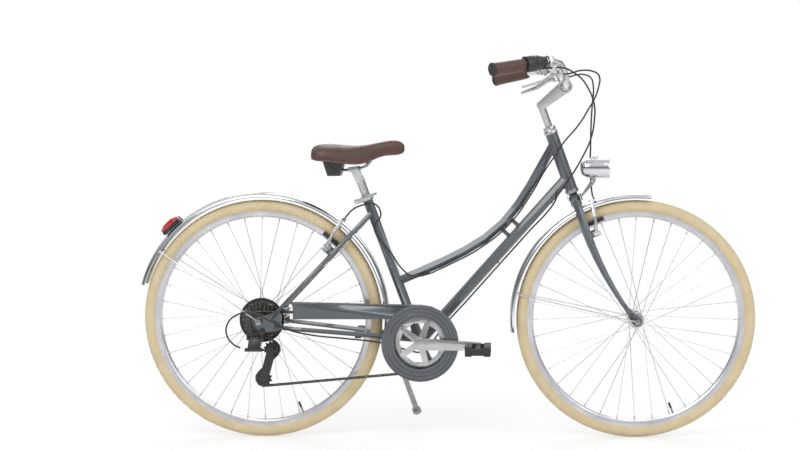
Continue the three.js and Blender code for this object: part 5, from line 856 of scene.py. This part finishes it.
def pad_of(axle):
    """The test for the faces of a brake arm that belong to its pad, which reaches for the rim."""
    return lambda spot: (abs(math.hypot(spot.x - axle.x, spot.z - axle.z) - PAD_RADIUS) < PAD_HALF
                         and PAD_INNER < abs(spot.y) < PAD_OUTER)


def in_block(spot):
    """The test for the saddle's suspension block, which ends at a slanting front."""
    return spot.x < BLOCK_FRONT + BLOCK_SLANT * (spot.z - BLOCK_FOOT)


def castings():
    for node in ("frame", "fork", "chain_guard"):
        recast(node, 40)
    for node in BODY_PARTS:
        recast(node, CREASE, EDGE)
    for axle, end in ((FRONT_AXLE, "front"), (REAR_AXLE, "rear")):
        for side in ("right", "left"):
            two_tone(recast(f"{end}_brake_arm_{side}", CREASE, EDGE), black_rubber, pad_of(axle))
    two_tone(recast("saddle_rails", CREASE, EDGE, steel), black_plastic, in_block)
    for node in STEEL_PARTS:
        recast(node, CREASE, EDGE, steel)
    for node in PLASTIC_PARTS:
        recast(node, CREASE, EDGE, black_plastic)
    recast("chain", 50)


castings()


# Cables: smooth housings. The front one rides on the steering, which carries both of its ends.
# The other two run from the bar to the frame.
HOUSING_RADIUS = 2.4
FRONT_BRAKE = [(868.5, 170, 1051.2), (905, 150, 1062), (940, 122, 1066), (962, 98, 1054), (967, 80, 1033),
               (967, 66, 1007), (964, 54, 985), (960, 45, 930), (958, 41, 850), (957, 40, 800),
               (958, 39, 770), (960, 37, 742), (962, 32, 720), (964, 20, 708), (965, 4, 704.5),
               (965, -12, 703.5), (965, -27, 703)]
REAR_BRAKE = [(868.5, -170, 1051.2), (890, -158, 1055), (910, -138, 1062), (932, -112, 1066),
              (956, -85, 1064), (970, -68, 1058), (977, -58, 1046), (974, -48, 1020), (964, -42, 990),
              (947, -36, 960), (923, -31, 920), (871, -29, 857), (853, -24, 828), (824.6, -14.5, 786.3),
              (787, -14.5, 720.8), (724, -14.5, 632.1), (634.6, -14.5, 557.9), (550.6, -14.5, 512.6),
              (516.3, -14.5, 496.6), (487.6, -14.5, 483.9), (438, -21, 478), (414, -23, 494),
              (378, -24, 545), (330, -24, 625), (346, -24, 646), (348, -27, 667), (331, -30, 688),
              (305, -24, 686), (284, -10, 680), (266, 10, 671), (252, 26, 660), (243, 30, 650),
              (239, 24, 644), (237, 8, 642), (236.5, -10, 642), (236, -27, 642)]
GEAR = [(850, -207, 1068), (862, -190, 1069), (880, -175, 1066), (900, -157, 1056), (922, -133, 1041),
        (944, -104, 1012), (957, -80, 985), (963, -66, 959), (963, -56, 934), (955, -46, 880),
        (932, -38, 826), (893, -32, 760), (872, -26, 730), (858, -14, 707), (849.2, 0, 686.6),
        (772, 0, 600), (692.8, 0, 511.2), (599, 0, 405.9), (529.1, 0, 327.5), (497, -4, 283),
        (484, -8, 262), (464, -14, 253), (430, -27, 259), (395, -37, 272), (365, -40, 281),
        (325, -50, 290), (240, -63, 301), (150, -72, 312), (80, -78, 330), (20, -85, 362),
        (-20, -87, 378), (-60, -87, 372), (-88, -86, 345), (-90, -85, 312), (-74, -84, 288),
        (-52, -86, 276)]


def cable(name, route, node):
    line = tube(name, [at(*spot) for spot in route], HOUSING_RADIUS, sides=3, fine=6)
    smooth(line, 60)
    dressed(line, black_rubber)
    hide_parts(node)
    return line


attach(cable("front_brake_housing", FRONT_BRAKE, "front_brake_cable"), "steering")
# The numbers are the route's points where the bend starts and ends.
for name, route, node, first, last in (("rear_brake_housing", REAR_BRAKE, "rear_brake_cable", 9, 13),
                                       ("gear_housing", GEAR, "gear_cable", 11, 14)):
    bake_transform(cable(name, route, node))


# Studio: a white room for the camera; shiny pieces mirror darker bands round the horizon
WHITE = (1, 1, 1, 1)
SKY_STRENGTH = 0.78
SKY = ((0.0, (0.42, 0.43, 0.45, 1)), (0.45, WHITE))
MIRRORED_SKY = ((0.0, (0.5, 0.5, 0.51, 1)), (0.75, (1.1, 1.1, 1.1, 1)))
MIRRORED_BANDS = ((0.1, 0.36), (0.2, 0.2), (0.34, 0.62), (0.5, 0.95))
LAMP_TARGET = Vector((0, 0, 0.5))
# Each lamp's name, place and size in metres, power in watts and tint
LAMPS = (("key", (-1.6, -2.6, 3.2), 2.4, 62, (1, 0.99, 0.97)),
         ("fill", (2.4, -2.2, 2.2), 2.6, 30, (0.97, 0.98, 1)),
         ("back", (0.2, 2.8, 2.6), 2.6, 38, (1, 1, 1)))


def shades(tree, ends):
    """A colour ramp between two stops, each a place and a colour."""
    ramp = tree.nodes.new("ShaderNodeValToRGB")
    for stop, (place, color) in zip(ramp.color_ramp.elements, ends):
        stop.position, stop.color = place, color
    return ramp


def studio():
    scene = bpy.context.scene
    scene.view_settings.view_transform = "Standard"
    world = bpy.data.worlds.new("studio")
    scene.world = world
    world.use_nodes = True
    tree = world.node_tree
    tree.nodes.clear()
    out = add_node(tree, "ShaderNodeOutputWorld")
    sky = add_node(tree, "ShaderNodeBackground", {"Strength": SKY_STRENGTH})
    seen = add_node(tree, "ShaderNodeBackground", {"Color": WHITE, "Strength": 1.0})
    mix = add_node(tree, "ShaderNodeMixShader")
    ray = add_node(tree, "ShaderNodeLightPath")
    place = add_node(tree, "ShaderNodeTexCoord")
    split = add_node(tree, "ShaderNodeSeparateXYZ")
    either = add_node(tree, "ShaderNodeMath", operation="MAXIMUM")
    ramp = shades(tree, SKY)
    mirrored = shades(tree, MIRRORED_SKY)
    for height, shade in MIRRORED_BANDS:
        mirrored.color_ramp.elements.new(height).color = (shade, shade, shade * 1.02, 1)
    shade_of = add_node(tree, "ShaderNodeMix", data_type="RGBA")
    connect(tree,
            (place, "Generated", split, "Vector"),
            (split, "Z", ramp, "Fac"),
            (split, "Z", mirrored, "Fac"),
            (ray, "Is Glossy Ray", shade_of, "Factor"),
            (ramp, "Color", shade_of, "A"),
            (mirrored, "Color", shade_of, "B"),
            (shade_of, "Result", sky, "Color"),
            (ray, "Is Camera Ray", either, 0),
            (ray, "Is Transmission Ray", either, 1),
            (either, "Value", mix, "Fac"),
            (sky, "Background", mix, 1),
            (seen, "Background", mix, 2),
            (mix, "Shader", out, "Surface"))
    for name, spot, size, power, tint in LAMPS:
        lamp = bpy.data.lights.new(name, "AREA")
        lamp.shape = "SQUARE"
        lamp.size = size
        lamp.energy = power
        lamp.color = tint
        light = bpy.data.objects.new(name, lamp)
        scene.collection.objects.link(light)
        light.location = spot
        light.rotation_euler = (LAMP_TARGET - Vector(spot)).to_track_quat("-Z", "Y").to_euler()


# Floor: pale and matt under the bike, fading to the white of the room for the camera
FLOOR_SIZE = 60                     # metres
FLOOR_DROP = 0.0005                 # metres
FLOOR_STRETCH = (0.75, 1.4, 1)      # scales the distances along the bike and across it
FADE_START, FADE_END = 0.45, 1.5    # distance from the middle, after the stretch
FADE_AT_START = 0.6                 # share of white under the bike


def floor():
    deselect()
    bpy.ops.mesh.primitive_plane_add(size=FLOOR_SIZE, location=(0, 0, -FLOOR_DROP))
    ground = bpy.context.object
    ground.name = "floor"
    material = bpy.data.materials.new("pale_floor")
    material.use_nodes = True
    tree = material.node_tree
    shader = tree.nodes["Principled BSDF"]
    shader.inputs["Base Color"].default_value = (0.9, 0.9, 0.9, 1)
    shader.inputs["Roughness"].default_value = 0.8
    glow = add_node(tree, "ShaderNodeEmission", {"Color": WHITE})
    mix = add_node(tree, "ShaderNodeMixShader")
    place = add_node(tree, "ShaderNodeTexCoord")
    shrink = add_node(tree, "ShaderNodeMapping", {"Scale": FLOOR_STRETCH})
    far = add_node(tree, "ShaderNodeVectorMath", operation="LENGTH")
    fade = add_node(tree, "ShaderNodeMapRange",
                    {"From Min": FADE_START, "From Max": FADE_END, "To Min": FADE_AT_START},
                    interpolation_type="SMOOTHSTEP")
    ray = add_node(tree, "ShaderNodeLightPath")
    shown = add_node(tree, "ShaderNodeMath", operation="MULTIPLY")
    connect(tree,
            (place, "Object", shrink, "Vector"),
            (shrink, "Vector", far, 0),
            (far, "Value", fade, "Value"),
            (fade, "Result", shown, 0),
            (ray, "Is Camera Ray", shown, 1),
            (shown, "Value", mix, "Fac"),
            (shader, "BSDF", mix, 1),
            (glow, "Emission", mix, 2),
            (mix, "Shader", tree.nodes["Material Output"], "Surface"))
    ground.data.materials.append(material)


studio()
floor()
